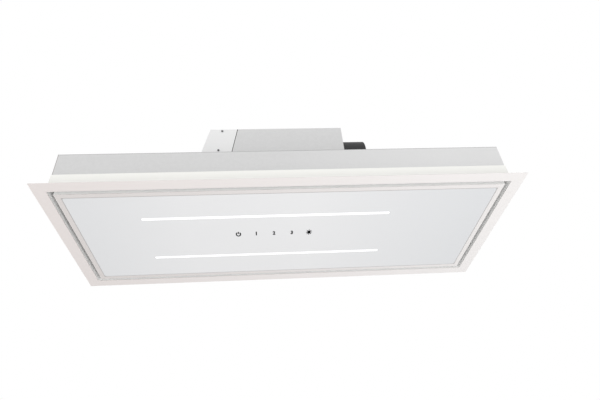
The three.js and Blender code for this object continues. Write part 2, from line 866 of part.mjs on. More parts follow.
const bearing = (z) => washer(bearingRadius, shaftRadius + fitGap, z, z + bearingHeight, coarse);

const stackEnds = [stackMiddle - stackHeight / 2, stackMiddle + stackHeight / 2];

const statorCore = () => washer(statorRadius, rotorRadius + airGap, ...stackEnds);

const rotorCore = () => washer(rotorRadius, shaftRadius + fitGap, ...stackEnds);

const motorShaft = () => rod(shaftRadius, hubBottom - fitGap, motorTop - motorWall, coarse);

// ---------------------------------------------------------------- blower box and end cover

// Where the seam and the cover's left end stand at height z.
const seamX = (z) => seamBase + (z - casingTop) * Math.tan(THREE.MathUtils.degToRad(seamLean));
const coverX = (z) => seamBase - coverBase + (z - casingTop) * Math.tan(THREE.MathUtils.degToRad(coverLean));

const screwPlaces = [
  ['upper', upperScrewFromSeam, boxTop - upperScrewBelowTop],
  ['lower', lowerScrewFromSeam, boxTop - lowerScrewBelowTop],
].map(([name, fromSeam, z]) => [name, seamX(z) - fromSeam, z]);

const screwHole = (x, z) => circleHole(x, z, screwRadius + fitGap);

// A sheet box with a sloping left end, open below, and a tongue that the end cover is screwed to.
function blowerBox() {
  const wedge = (grow, low, high) =>
    polygon([
      [seamX(low) + grow, low],
      [boxRight - grow, low],
      [boxRight - grow, high],
      [seamX(high) + grow, high],
    ]);
  const shell = alongY(wedge(0, onCasing, boxTop), boxFront, boxBack);
  const hollow = wedge(sheet, onCasing - throughCut, boxTop - sheet);
  const inside = alongY(hollow, boxFront + sheet, boxBack - sheet);
  const feet = block(
    seamX(onCasing) + boxFoot,
    boxRight + boxFoot,
    boxFront - boxFoot,
    boxBack + boxFoot,
    onCasing,
    onCasing + sheet,
  );
  const footSpace = block(
    seamX(onCasing) + boxFoot - throughCut,
    boxRight - sheet,
    boxFront + sheet,
    boxBack - sheet,
    onCasing - throughCut,
    onCasing + throughCut,
  );
  const outlet = rod(outletRadius + fitGap, boxRight - 2 * throughCut, boxRight + throughCut, ductSides);
  outlet.rotateY(Math.PI / 2).translate(0, outletY, outletZ);
  const tongueBottom = screwPlaces[1][2] - boxFoot;
  const tongueFront = boxFront + sheet + fitGap;
  const tongue = alongY(
    polygon([
      [seamX(tongueBottom) - tongueReach, tongueBottom],
      [seamX(tongueBottom) + sheet, tongueBottom],
      [seamX(boxTop - boxFoot / 4) + sheet, boxTop - boxFoot / 4],
      [seamX(boxTop - boxFoot / 4) - tongueReach, boxTop - boxFoot / 4],
    ]),
    tongueFront,
    tongueFront + sheet,
    screwPlaces.map(([, x, z]) => screwHole(x, z)),
  );
  return join(cut(join(cut(shell, inside), feet), footSpace, outlet), tongue);
}

// A lighter sheet cap over the electrics, on the box's sloping end.
function endCover() {
  const wedge = (grow, right, low, high) =>
    polygon([
      [coverX(low) + grow, low],
      [seamX(low) + right, low],
      [seamX(high) + right, high],
      [coverX(high) + grow, high],
    ]);
  const shell = alongY(wedge(0, -fitGap, onCasing, boxTop), boxFront, boxBack);
  const inside = alongY(
    wedge(sheet, throughCut, onCasing - throughCut, boxTop - sheet),
    boxFront + sheet,
    boxBack - sheet,
  );
  const screwBores = screwPlaces.map(([, x, z]) =>
    rod(screwRadius + fitGap, -throughCut, throughCut, coarse).rotateX(Math.PI / 2).translate(x, boxFront, z),
  );
  const glandHole = rod(glandThread + fitGap, -throughCut, throughCut, coarse).rotateX(Math.PI / 2);
  glandHole.translate(electricsX, boxBack, casingTop + glandHeight);
  return cut(shell, inside, ...screwBores, glandHole);
}

function coverScrew(x, z) {
  const head = rod(screwHead, 0, screwHeadHeight, coarse);
  const shank = rod(screwRadius, -screwLength, screwHeadHeight / 2, coarse);
  const [half, reach, floor] = [driveSlotWidth / 2, screwHead + bite, screwHeadHeight / 2];
  const driveSlot = block(-reach, reach, -half, half, floor, screwHeadHeight + throughCut);
  return cut(join(head, shank), driveSlot).rotateX(Math.PI / 2).translate(x, boxFront - fitGap, z);
}

// ---------------------------------------------------------------- duct outlet

// A round spigot, clamped behind the box's wall by its flange. Its axis is along +X.
function outletCollar() {
  const section = [
    [boreRadius, outletFlangeFront],
    [outletRadius + outletFlange, outletFlangeFront],
    [outletRadius + outletFlange, outletFlangeBack],
    [outletRadius, outletFlangeBack],
    [outletRadius, boxRight + outletLength],
    [boreRadius, boxRight + outletLength],
  ];
  return turned(section, ductSides).rotateY(Math.PI / 2).translate(0, outletY, outletZ);
}

const flapPin = () =>
  rod(flapPinRadius, -flapPinHalf, flapPinHalf, coarse).translate(flapX, outletY, outletZ);

// Half a disc on the pin's side given by sign (-1 front, 1 back), with its own pair of knuckles.
function outletFlap(sign) {
  const radius = boreRadius - 2 * fitGap;
  const disc = new THREE.Shape();
  const edge = Math.acos(flapRoot / radius);
  disc.absarc(0, 0, radius, -edge, edge);
  disc.closePath();
  const leaf = alongX(disc, -flapThickness / 2, flapThickness / 2, [], ductSides / 4);
  const knuckles = [-1, 1].map((end) => {
    const z = end * flapKnuckleOffset + (sign * flapKnuckleLength) / 2 + sign * fitGap;
    const eye = rod(flapKnuckle, z - flapKnuckleLength / 2, z + flapKnuckleLength / 2, coarse);
    const arm = block(
      -flapThickness / 2,
      flapThickness / 2,
      0,
      flapRoot + bite,
      z - flapKnuckleLength / 2,
      z + flapKnuckleLength / 2,
    );
    return join(eye, arm);
  });
  const bore = rod(flapPinRadius + pivotGap, -radius, radius, coarse);
  const flap = cut(join(leaf, ...knuckles), bore);
  if (sign < 0) flap.rotateZ(Math.PI);
  return flap.translate(flapX, outletY, outletZ);
}

// ---------------------------------------------------------------- electrics

// From the cover's back sheet to its front one, with the board in what is left.
const electricsX = seamBase - coverBase / 2 + electricsShift;
const terminalY = boxBack - sheet - electricsEndGap - terminalDepth / 2;
const capacitorY = terminalY - terminalDepth / 2 - electricsGap / 2 - capacitorRadius;
const driverY = capacitorY - capacitorRadius - electricsGap / 2 - driverLength / 2;
const boardBack = driverY - driverLength / 2 - electricsGap;
const boardFront = boxFront + 2 * sheet + electricsGap;
const boardLength = boardBack - boardFront;
const boardY = (boardFront + boardBack) / 2;

// A circuit board on four posts, with its relays, transformer and plug row.
function powerBoard() {
  const bottom = onCasing + boardLift;
  const top = bottom + boardThickness;
  const board = plate(electricsX, boardY, boardWidth, boardLength, bottom, top);
  const posts = [];
  for (const u of [-1, 1]) {
    for (const v of [-1, 1]) {
      const [x, y] = [u * (boardWidth / 2 - 2 * postRadius), v * (boardLength / 2 - 2 * postRadius)];
      posts.push(rod(postRadius, onCasing, bottom + bite, coarse).translate(electricsX + x, boardY + y, 0));
    }
  }
  const low = top - bite;
  const transformer = plate(
    electricsX,
    boardFront + boardMargin + transformerWidth / 2,
    transformerLength,
    transformerWidth,
    low,
    top + transformerHeight,
  );
  const relays = [-1, 0, 1].map((i) =>
    plate(electricsX + i * (relayLength + relayGap), boardY, relayLength, relayWidth, low, top + relayHeight),
  );
  const plugY = boardBack - boardMargin - plugRowWidth / 2;
  const plugRow = plate(electricsX, plugY, plugRowLength, plugRowWidth, low, top + plugRowHeight);
  return join(board, ...posts, transformer, ...relays, plugRow);
}

function lightDriver() {
  const width = driverWidth - 2 * driverEar;
  const earLength = driverLength - 4 * driverEar;
  const body = plate(electricsX, driverY, width, driverLength, onCasing, onCasing + driverHeight);
  const ears = plate(electricsX, driverY, driverWidth, earLength, onCasing, onCasing + driverEarThickness);
  return join(body, ears);
}

function motorCapacitor() {
  const top = onCasing + capacitorHeight;
  const can = rod(capacitorRadius, onCasing, top);
  const tag = (x) => plate(x, 0, tagThickness, tagWidth, top - bite, top + tagHeight);
  return join(can, tag(-tagOffset), tag(tagOffset)).translate(electricsX, capacitorY, 0);
}

function terminalBlock() {
  const top = onCasing + terminalHeight;
  const body = plate(electricsX, terminalY, terminalLength, terminalDepth, onCasing, top);
  const wireLevel = onCasing + terminalHeight / 3;
  const holes = [];
  for (let i = 0; i < terminalWays; i += 1) {
    const x = electricsX + (i - (terminalWays - 1) / 2) * (terminalLength / terminalWays);
    const wire = rod(wireHole, -terminalDepth, terminalDepth, coarse).rotateX(Math.PI / 2);
    const screwWell = rod(wireHole, wireLevel, top + throughCut, coarse);
    holes.push(wire.translate(x, terminalY, wireLevel), screwWell.translate(x, terminalY, 0));
  }
  return cut(body, ...holes);
}

// The cable inlet: nuts on both sides of the cover's back sheet, and a domed cap outside.
function cableGland() {
  const [inside, outside] = [-sheet - fitGap, fitGap];
  const section = [
    [glandBore, inside - glandNutHeight],
    [glandNut, inside - glandNutHeight],
    [glandNut, inside],
    [glandThread, inside],
    [glandThread, outside],
    [glandNut, outside],
    [glandNut, outside + glandNutHeight],
    [glandNut - glandStep, outside + glandNutHeight],
    [glandNut - glandStep, glandReach - glandStep],
    [glandNut - 3 * glandStep, glandReach],
    [glandBore, glandReach],
  ];
  const gland = turned(section, coarse).rotateX(-Math.PI / 2);
  return gland.translate(electricsX, boxBack, casingTop + glandHeight);
}

// ---------------------------------------------------------------- suspension brackets

// A Z of thick sheet: a foot on the casing, a web, and a pad with a slot for a threaded rod.
function suspensionBracket(sideX, sideY) {
  const webX = casingLength / 2 - bracketFromEnd - bracketPad;
  const padTop = onCasing + bracketHeight;
  const section = polygon([
    [webX - bracketFoot, onCasing],
    [webX, onCasing],
    [webX, padTop - bracketSheet],
    [webX + bracketPad, padTop - bracketSheet],
    [webX + bracketPad, padTop],
    [webX - bracketSheet, padTop],
    [webX - bracketSheet, onCasing + bracketSheet],
    [webX - bracketFoot, onCasing + bracketSheet],
  ]);
  const y = casingWidth / 2 - bracketFromSide - bracketWidth / 2;
  const strip = alongY(section, y - bracketWidth / 2, y + bracketWidth / 2);
  const slotOutline = roundedOutline(rodSlotWidth, rodSlotLength, rodSlotWidth / 2 - roundEnd);
  const slot = upright(slotOutline, padTop - throughCut - bracketSheet, padTop + throughCut);
  slot.translate(webX + bracketPad / 2, y, 0);
  return cut(strip, slot).scale(sideX, sideY, 1);
}

// ---------------------------------------------------------------- the hood

add('flange_frame', flangeFrame(), whitePaint);
add('casing', casing(), galvanised);
add('filter_deck', filterDeck(), whitePaint);

filterPlaces.forEach((x, i) => {
  const filter = new THREE.Group();
  filter.position.x = x;
  add(`filter_frame_${i + 1}`, filterFrame(), aluminium, filter);
  add(`filter_mesh_${i + 1}`, filterMesh(), aluminium, filter);
  add(`filter_latch_${i + 1}`, filterLatch(), greyPlastic, filter);
  hood.add(filter);
});

add('panel_frame', panelFrame(), whitePaint);
add('glass_panel', glassPanel(), whiteGlass);
add('panel_tray', panelTray(), galvanised);
for (const [side, y] of stripPlaces) {
  add(`light_diffuser_${side}`, diffuser(y), opal);
  add(`light_board_${side}`, lightBoard(y), circuit);
  add(`light_channel_${side}`, lightChannel(y), aluminium);
}
add('touch_board', touchBoard(), circuit);

for (const [side, sign] of [['left', -1], ['right', 1]]) {
  add(`hinge_bracket_${side}`, hingeBracket(sign * hingeX), bareSteel);
  add(`hinge_leaf_${side}`, hingeLeaf(sign * hingeX), bareSteel);
  add(`hinge_pin_${side}`, hingePin(sign * hingeX), darkSteel);
  add(`catch_magnet_${side}`, catchMagnet(sign * hingeX), magnetBlack);
  add(`catch_strike_${side}`, catchStrike(sign * hingeX), bareSteel);
}

const fan = new THREE.Group();
fan.position.set(fanX, fanY, 0);
add('inlet_ring', inletRing(), blackPlastic, fan);
add('impeller', impeller(), greyPlastic, fan);
add('motor_can', motorCan(), darkSteel, fan);
add('motor_end_bell', motorEndBell(), aluminium, fan);
add('stator_core', statorCore(), darkSteel, fan);
add('rotor_core', rotorCore(), bareSteel, fan);
add('motor_shaft', motorShaft(), bareSteel, fan);
add('bearing_upper', bearing(motorTop - 2 * motorWall - bearingHeight), bareSteel, fan);
add('bearing_lower', bearing(motorBottom + 2 * motorWall + fitGap), bareSteel, fan);
hood.add(fan);
add('scroll_housing', scrollHousing(), greyPlastic);
add('scroll_lid', scrollLid(), greyPlastic);

add('blower_box', blowerBox(), galvanised);
add('end_cover', endCover(), lightSteel);
for (const [name, x, z] of screwPlaces) add(`cover_screw_${name}`, coverScrew(x, z), darkSteel);
add('outlet_collar', outletCollar(), blackPlastic);
add('flap_pin', flapPin(), bareSteel);
add('outlet_flap_front', outletFlap(-1), blackPlastic);
add('outlet_flap_back', outletFlap(1), blackPlastic);

add('power_board', powerBoard(), circuit);
add('light_driver', lightDriver(), whitePlastic);
add('motor_capacitor', motorCapacitor(), aluminium);
add('terminal_block', terminalBlock(), whitePlastic);
add('cable_gland', cableGland(), blackPlastic);

for (const [end, u] of [['left', -1], ['right', 1]]) {
  for (const [side, v] of [['front', -1], ['back', 1]]) {
    add(`suspension_bracket_${end}_${side}`, suspensionBracket(u, v), bareSteel);
  }
}

export default hood;
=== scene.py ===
import math

import bmesh
import bpy
from mathutils import Matrix, Vector


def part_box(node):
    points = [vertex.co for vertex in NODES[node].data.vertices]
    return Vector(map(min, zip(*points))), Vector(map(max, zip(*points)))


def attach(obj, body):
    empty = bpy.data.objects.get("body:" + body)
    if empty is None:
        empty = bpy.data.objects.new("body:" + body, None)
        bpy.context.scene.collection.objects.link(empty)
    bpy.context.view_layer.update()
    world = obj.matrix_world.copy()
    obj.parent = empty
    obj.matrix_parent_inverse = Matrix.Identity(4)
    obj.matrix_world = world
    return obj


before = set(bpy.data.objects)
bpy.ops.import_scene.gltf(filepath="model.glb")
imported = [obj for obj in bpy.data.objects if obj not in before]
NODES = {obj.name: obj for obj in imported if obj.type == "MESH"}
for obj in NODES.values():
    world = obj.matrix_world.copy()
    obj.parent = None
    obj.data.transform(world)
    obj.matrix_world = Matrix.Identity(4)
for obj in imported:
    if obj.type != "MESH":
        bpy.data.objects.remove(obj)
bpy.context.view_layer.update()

# Metres, in the frame of the CAD: +X along the hood to the duct's end, +Y from front to back, +Z up.
# The origin is the middle of the flange's underside.
MM = 0.001
scene = bpy.context.scene

# ---------------------------------------------------------------- camera

IMAGE_WIDTH = 600  # pixels
FOCAL_LENGTH = 486.7  # pixels
SENSOR = 36  # mm
CAMERA_AT = Vector((-0.0585, -1.1403, -0.7507))
CAMERA_YAW = math.radians(5.42)
CAMERA_PITCH = math.radians(37.40)
CAMERA_ROLL = math.radians(-4.77)
CLIP_START = 0.02
CLIP_END = 60


def make_camera():
    level = math.cos(CAMERA_PITCH)
    forward = Vector((math.sin(CAMERA_YAW) * level, math.cos(CAMERA_YAW) * level, math.sin(CAMERA_PITCH)))
    level_right = Vector((math.cos(CAMERA_YAW), -math.sin(CAMERA_YAW), 0))
    level_up = level_right.cross(forward)
    right = math.cos(CAMERA_ROLL) * level_right + math.sin(CAMERA_ROLL) * level_up
    up = right.cross(forward)
    camera = bpy.data.objects.new("camera", bpy.data.cameras.new("camera"))
    camera.data.sensor_width = SENSOR
    camera.data.lens = SENSOR * FOCAL_LENGTH / IMAGE_WIDTH
    camera.data.clip_start = CLIP_START
    camera.data.clip_end = CLIP_END
    turned = Matrix((right, up, -forward)).transposed().to_4x4()
    camera.matrix_world = Matrix.Translation(CAMERA_AT) @ turned
    scene.collection.objects.link(camera)
    scene.camera = camera


make_camera()
scene.view_settings.view_transform = "Standard"

# ---------------------------------------------------------------- node helpers


class Look:
    """A procedural material: a principled shader, and the nodes that feed it."""

    def __init__(self, name, colour, roughness, metallic=0.0, **sockets):
        self.material = bpy.data.materials.new(name)
        self.material.use_nodes = True
        self.tree = self.material.node_tree
        self.shader = self.tree.nodes["Principled BSDF"]
        self.colour = (*colour, 1.0)
        self.shader.inputs["Base Color"].default_value = self.colour
        self.shader.inputs["Roughness"].default_value = roughness
        self.shader.inputs["Metallic"].default_value = metallic
        for socket, value in sockets.items():
            self.shader.inputs[socket.replace("_", " ")].default_value = value
        self.place = self.node("ShaderNodeTexCoord").outputs["Object"]

    def node(self, kind, inputs=(), **settings):
        made = self.tree.nodes.new(kind)
        for name, value in settings.items():
            setattr(made, name, value)
        for socket, value in dict(inputs).items():
            if isinstance(value, bpy.types.NodeSocket):
                self.tree.links.new(value, made.inputs[socket])
            else:
                made.inputs[socket].default_value = value
        return made

    def stretched(self, scale):
        return self.node("ShaderNodeMapping", {"Vector": self.place, "Scale": scale}).outputs["Vector"]

    def noise(self, scale, detail=3.0, place=None):
        inputs = {"Vector": place or self.place, "Scale": scale, "Detail": detail}
        return self.node("ShaderNodeTexNoise", inputs).outputs["Fac"]

    def cells(self, scale, place=None, output="Color"):
        inputs = {"Vector": place or self.place, "Scale": scale}
        return self.node("ShaderNodeTexVoronoi", inputs).outputs[output]

    def math(self, operation, a, b=0.0):
        return self.node("ShaderNodeMath", {0: a, 1: b}, operation=operation).outputs[0]

    def span(self, value, low, high, to_low=0.0, to_high=1.0):
        inputs = {"Value": value, "From Min": low, "From Max": high, "To Min": to_low, "To Max": to_high}
        return self.node("ShaderNodeMapRange", inputs).outputs["Result"]

    def axis(self, name, source=None):
        return self.node("ShaderNodeSeparateXYZ", {0: source or self.place}).outputs[name]

    def mix(self, factor, a, b):
        made = self.node("ShaderNodeMix", data_type="RGBA")
        for socket, value in ((0, factor), (6, a), (7, b)):
            if isinstance(value, bpy.types.NodeSocket):
                self.tree.links.new(value, made.inputs[socket])
            else:
                made.inputs[socket].default_value = value
        return made.outputs[2]

    def feed(self, socket, value):
        self.tree.links.new(value, self.shader.inputs[socket])
        return self

    def tone(self, amount, *patterns):
        """The base colour, a little lighter and darker where the patterns are."""
        colour = self.colour
        plain = self.colour[:3]
        for pattern in patterns:
            shade = self.mix(pattern, shades(plain, 1 - amount), shades(plain, 1 + amount))
            colour = shade if colour is self.colour else self.mix(0.5, colour, shade)
        return self.feed("Base Color", colour)

    def bump(self, height, depth, strength=1.0):
        inputs = {"Height": height, "Distance": depth, "Strength": strength}
        return self.feed("Normal", self.node("ShaderNodeBump", inputs).outputs["Normal"])


def shades(colour, change=1.0):
    """The colour made lighter or darker, with its alpha."""
    return tuple(min(1.0, c * change) for c in colour) + (1.0,)


# ---------------------------------------------------------------- materials

PAINT = (0.81, 0.785, 0.775)
BAND = (0.775, 0.75, 0.74)  # the panel's frame
LEFT_SHADE = (0.93, 0.895, 0.885)  # painted shade: what the left end of the paint keeps of each colour, so it is darker and warmer there
# painted shade of the panel frame's paint towards its left end
BAND_LEFT_SHADE = (0.86, 0.84, 0.83)
LEFT_SHADE_REACH = 560 * MM  # from the middle to each end of that painted shade
COLLAR = (0.95, 0.95, 0.915)
BRIGHT = (0.96, 0.96, 0.95)  # inside the suction slot
BAND_LEVEL = 1.2 * MM  # where the frame's face turns into its wall
FLANGE_LEVEL = 2.2 * MM  # where the flange turns into its collar
SLOT_WALL = (569.2 * MM, 219.2 * MM)  # half the collar's length and width, between its sheet's faces
LEVEL_BLEND = 0.5 * MM
WALL_BLEND = 0.2 * MM


def powder_coat(name, colour, upper=None, level=0.0, inner=None, wall=None, left_shade=LEFT_SHADE):
    """Satin paint with a fine orange peel, and a painted shade that darkens it towards its left end.

    Above the level it takes the upper colour, and there the inner one on what lies within the wall.
    """
    look = Look(name, colour, 0.42, Specular_IOR_Level=0.45)
    cloud = look.noise(6.0, 4.0)
    grain = look.noise(420.0, 2.0)
    base = look.mix(cloud, shades(colour, 0.975), shades(colour, 1.02))
    # painted shade: darker towards the left end, where less light falls
    left_shaded = shades([c * part for c, part in zip(colour, left_shade)])
    base = look.mix(look.span(look.axis("X"), -LEFT_SHADE_REACH, LEFT_SHADE_REACH), left_shaded, base)
    if upper:
        other = look.mix(cloud, shades(upper, 0.98), shades(upper, 1.02))
        if inner:
            outside = [
                look.span(look.math("ABSOLUTE", look.axis(axis)), half - WALL_BLEND, half + WALL_BLEND)
                for axis, half in zip("XY", wall)
            ]
            other = look.mix(look.math("MAXIMUM", *outside), shades(inner), other)
        above = look.span(look.axis("Z"), level - LEVEL_BLEND, level + LEVEL_BLEND)
        base = look.mix(above, base, other)
    look.feed("Base Color", base)
    look.feed("Roughness", look.span(grain, 0.3, 0.7, 0.38, 0.48))
    return look.bump(grain, 0.05 * MM, 0.5)


WOBBLE = 6 * MM  # how far the spangle's edges wander
SPANGLE_SCALE = 150.0
PAINTED_LIGHT_END_AT = 400 * MM


def zinc_sheet(name, colour, spangle, roughness, metallic, rolling=0.02, painted_light_end=0.0):
    """Galvanised sheet with a soft spangle and faint rolling lines, and painted light that makes one end a
    little brighter.
    """
    look = Look(name, colour, roughness, metallic)
    noise = look.node("ShaderNodeTexNoise", {"Vector": look.place, "Scale": 60.0, "Detail": 2.0})
    wobble = {0: noise.outputs["Color"], "Scale": WOBBLE}
    shift = look.node("ShaderNodeVectorMath", wobble, operation="SCALE").outputs["Vector"]
    blur = look.node("ShaderNodeVectorMath", {0: look.place, 1: shift}, operation="ADD").outputs["Vector"]
    flakes = look.axis("X", look.cells(SPANGLE_SCALE, blur))
    lines = look.noise(1.0, 2.0, look.stretched((3.0, 900.0, 900.0)))
    cloud = look.noise(4.0, 3.0)
    flat = look.mix(flakes, shades(colour, 1 - spangle), shades(colour, 1 + spangle))
    lined = look.mix(lines, shades(colour, 1 - rolling), shades(colour, 1 + rolling))
    toned = look.mix(cloud, shades(colour, 0.97), shades(colour, 1.03))
    base = look.mix(0.5, look.mix(0.5, flat, lined), toned)
    # painted light: the sheet grows lighter towards its right end
    if painted_light_end:
        along = look.span(look.axis("X"), 0.0, PAINTED_LIGHT_END_AT)
        base = look.mix(along, base, shades(colour, 1 + painted_light_end))
    look.feed("Base Color", base)
    look.feed("Roughness", look.span(flakes, 0.0, 1.0, roughness - 0.05, roughness + 0.05))
    return look.bump(look.math("ADD", look.math("MULTIPLY", flakes, 0.4), lines), 0.012 * MM, 0.4)


def brushed(name, colour, roughness, direction, metallic=1.0):
    """Metal with fine drawn lines along one direction."""
    look = Look(name, colour, roughness, metallic)
    lines = look.noise(1.0, 3.0, look.stretched(direction))
    cloud = look.noise(12.0, 3.0)
    look.tone(0.05, lines, cloud)
    look.feed("Roughness", look.span(lines, 0.3, 0.7, roughness - 0.07, roughness + 0.07))
    return look.bump(lines, 0.01 * MM, 0.5)


def plastic(name, colour, roughness, grain_depth=0.03, shine=0.4):
    """Moulded plastic with a fine eroded grain."""
    look = Look(name, colour, roughness, Specular_IOR_Level=shine)
    grain = look.noise(1500.0, 2.0)
    cloud = look.noise(18.0, 3.0)
    look.tone(0.06, grain, cloud)
    look.feed("Roughness", look.span(grain, 0.3, 0.7, roughness - 0.06, roughness + 0.08))
    return look.bump(grain, grain_depth * MM, 0.5)


GLASS = (0.748, 0.748, 0.755)
GLASS_END_REFLECTION = (0.645, 0.655, 0.67)  # painted reflection, towards the short sides
GLASS_EDGE = (0.50, 0.60, 0.57, 1.0)
GLASS_LOW, GLASS_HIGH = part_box("glass_panel")
GLASS_HALF = GLASS_HIGH.x
BRIGHTEST_AT = 0.18  # where the painted reflection is brightest: left of the middle, as a share of half the glass's length
DARKER_FROM = 0.3
DARKEST_AT = 1.15


def painted_glass(name):
    """Clear tempered glass with white paint on its back, green at the cut edge, and a painted reflection:
    brightest left of the middle, darker and bluer towards the short sides.
    """
    look = Look(name, GLASS, 0.16, Coat_Weight=1.0, Coat_Roughness=0.03, Coat_IOR=1.52)
    rims = [
        look.span(look.math("ABSOLUTE", look.axis(axis)), half - 0.5 * MM, half - 0.2 * MM)
        for axis, half in (("X", GLASS_HALF), ("Y", GLASS_HIGH.y))
    ]
    edge = look.math("MAXIMUM", *rims)
    cloud = look.noise(2.2, 2.0)
    white = look.mix(cloud, shades(GLASS, 0.985), shades(GLASS, 1.015))
    # painted reflection: brightest left of the middle, darker towards the short sides
    off_middle = look.math("ABSOLUTE", look.math("ADD", look.axis("X"), BRIGHTEST_AT * GLASS_HALF))
    toned = look.span(off_middle, DARKER_FROM * GLASS_HALF, DARKEST_AT * GLASS_HALF)
    white = look.mix(toned, white, shades(GLASS_END_REFLECTION))
    look.feed("Base Color", look.mix(edge, white, GLASS_EDGE))
    wave = look.noise(5.0, 1.0)
    return look.bump(wave, 0.02 * MM, 0.25)


def circuit_board(name):
    """Green solder mask over copper tracks, with tinned pads."""
    green = (0.02, 0.16, 0.07)
    look = Look(name, green, 0.35, Coat_Weight=0.4, Coat_Roughness=0.15)
    tracks = look.node(
        "ShaderNodeTexBrick",
        {
            "Vector": look.place,
            "Scale": 90.0,
            "Color1": shades(green),
            "Color2": shades(green, 1.3),
            "Mortar": shades(green, 1.9),
            "Mortar Size": 0.06,
        },
    ).outputs["Color"]
    pads = look.span(look.cells(260.0, output="Distance"), 0.10, 0.16, 1.0, 0.0)
    rows = look.span(look.noise(40.0, 0.0), 0.55, 0.6)
    spots = look.math("MULTIPLY", pads, rows)
    tin = (0.62, 0.62, 0.58, 1.0)
    look.feed("Base Color", look.mix(spots, tracks, tin))
    look.feed("Metallic", spots)
    return look.bump(spots, 0.1 * MM, 0.6)


def expanded_mesh(name):
    """Expanded aluminium: diamond strands round dark openings, in several layers; the openings and the
    lower layers are painted shade.
    """
    metal = (0.62, 0.63, 0.65)
    # painted shade in the openings, and on the strands behind
    hollow_shade = (0.07, 0.071, 0.074, 1.0)
    shaded = (0.34, 0.34, 0.35, 1.0)
    look = Look(name, metal, 0.35, 0.9)
    turned = look.node("ShaderNodeMapping", {"Vector": look.place, "Rotation": (0, 0, math.radians(45))})
    u = look.axis("X", turned.outputs["Vector"])
    v = look.axis("Y", turned.outputs["Vector"])
    pitch = 4.2 * MM

    def strands(value, shift):
        wave = look.math("SINE", look.math("ADD", look.math("MULTIPLY", value, 2 * math.pi / pitch), shift))
        return look.span(look.math("ABSOLUTE", wave), 0.0, 0.42, 1.0, 0.0)

    front = look.math("MAXIMUM", strands(u, 0.0), strands(v, 0.0))
    behind = look.math("MAXIMUM", strands(u, 0.9), strands(v, 0.9))
    under = look.mix(behind, hollow_shade, shaded)
    shine = look.mix(look.noise(300.0), shades(metal, 0.85), shades(metal, 1.1))
    look.feed("Base Color", look.mix(front, under, shine))
    look.feed("Metallic", look.span(front, 0.0, 1.0, 0.3, 0.9))
    return look.bump(look.math("ADD", front, look.math("MULTIPLY", behind, 0.4)), 0.8 * MM, 0.9)


LED_PITCH = 12 * MM
BETWEEN_LEDS = (0.975, 0.985, 1.0, 1.0)
PLAIN_WHITE = (1.0, 1.0, 1.0, 1.0)
OPAL_GLOW = 0.32


def lit_opal(name):
    """Opal plastic lit from behind by its row of LEDs."""
    look = Look(name, (0.93, 0.93, 0.94), 0.35, Emission_Strength=OPAL_GLOW)
    along = look.math("SINE", look.math("MULTIPLY", look.axis("X"), 2 * math.pi / LED_PITCH))
    glow = look.mix(look.span(along, -1.0, 1.0), BETWEEN_LEDS, PLAIN_WHITE)
    look.feed("Emission Color", glow)
    return look.bump(look.noise(900.0), 0.01 * MM, 0.3)


LENGTHWAYS = (4.0, 700.0, 700.0)
CROSSWAYS = (700.0, 4.0, 700.0)

white_paint = powder_coat("white_powder_coat", PAINT)
panel_paint = powder_coat("panel_powder_coat", BAND, BRIGHT, BAND_LEVEL, left_shade=BAND_LEFT_SHADE)
flange_paint = powder_coat("flange_powder_coat", PAINT, COLLAR, FLANGE_LEVEL, BRIGHT, SLOT_WALL)
casing_zinc = zinc_sheet("galvanised_casing", (0.655, 0.655, 0.655), 0.08, 0.52, 0.25, painted_light_end=0.1)
box_zinc = zinc_sheet("galvanised_box", (0.69, 0.69, 0.69), 0.09, 0.52, 0.3)
# the end cover's sheet is given a lighter grey than the box's
cover_steel = zinc_sheet("pale_cover_sheet", (0.86, 0.86, 0.86), 0.015, 0.5, 0.15, 0.01)
zinc_plate = brushed("zinc_plate", (0.60, 0.61, 0.62), 0.36, LENGTHWAYS, 0.9)
dark_zinc = brushed("dark_zinc", (0.14, 0.145, 0.15), 0.4, LENGTHWAYS, 0.8)
aluminium = brushed("drawn_aluminium", (0.70, 0.71, 0.72), 0.3, LENGTHWAYS, 0.95)
aluminium_ends = brushed("turned_aluminium", (0.66, 0.67, 0.68), 0.32, CROSSWAYS, 0.95)
laminations = brushed("core_laminations", (0.30, 0.30, 0.31), 0.45, (6.0, 6.0, 2500.0), 0.8)
mesh_metal = expanded_mesh("expanded_aluminium")
glass = painted_glass("back_painted_glass")
opal = lit_opal("lit_opal")
black_plastic = plastic("black_moulded", (0.018, 0.018, 0.019), 0.55)
grey_plastic = plastic("grey_moulded", (0.24, 0.245, 0.25), 0.5)
white_plastic = plastic("white_moulded", (0.78, 0.78, 0.75), 0.45)
magnet_plastic = plastic("magnet_housing", (0.02, 0.02, 0.021), 0.45)
board_green = circuit_board("circuit_board")
ink = plastic("black_ink", (0.008, 0.008, 0.009), 0.7, 0.005, shine=0.06)
seal_grey = plastic("grey_seal", (0.44, 0.425, 0.42), 0.6)
# painted shade, for the dark strips along the casing's folds
fold_shade_grey = zinc_sheet("zinc_in_shade", (0.40, 0.40, 0.40), 0.04, 0.6, 0.2)

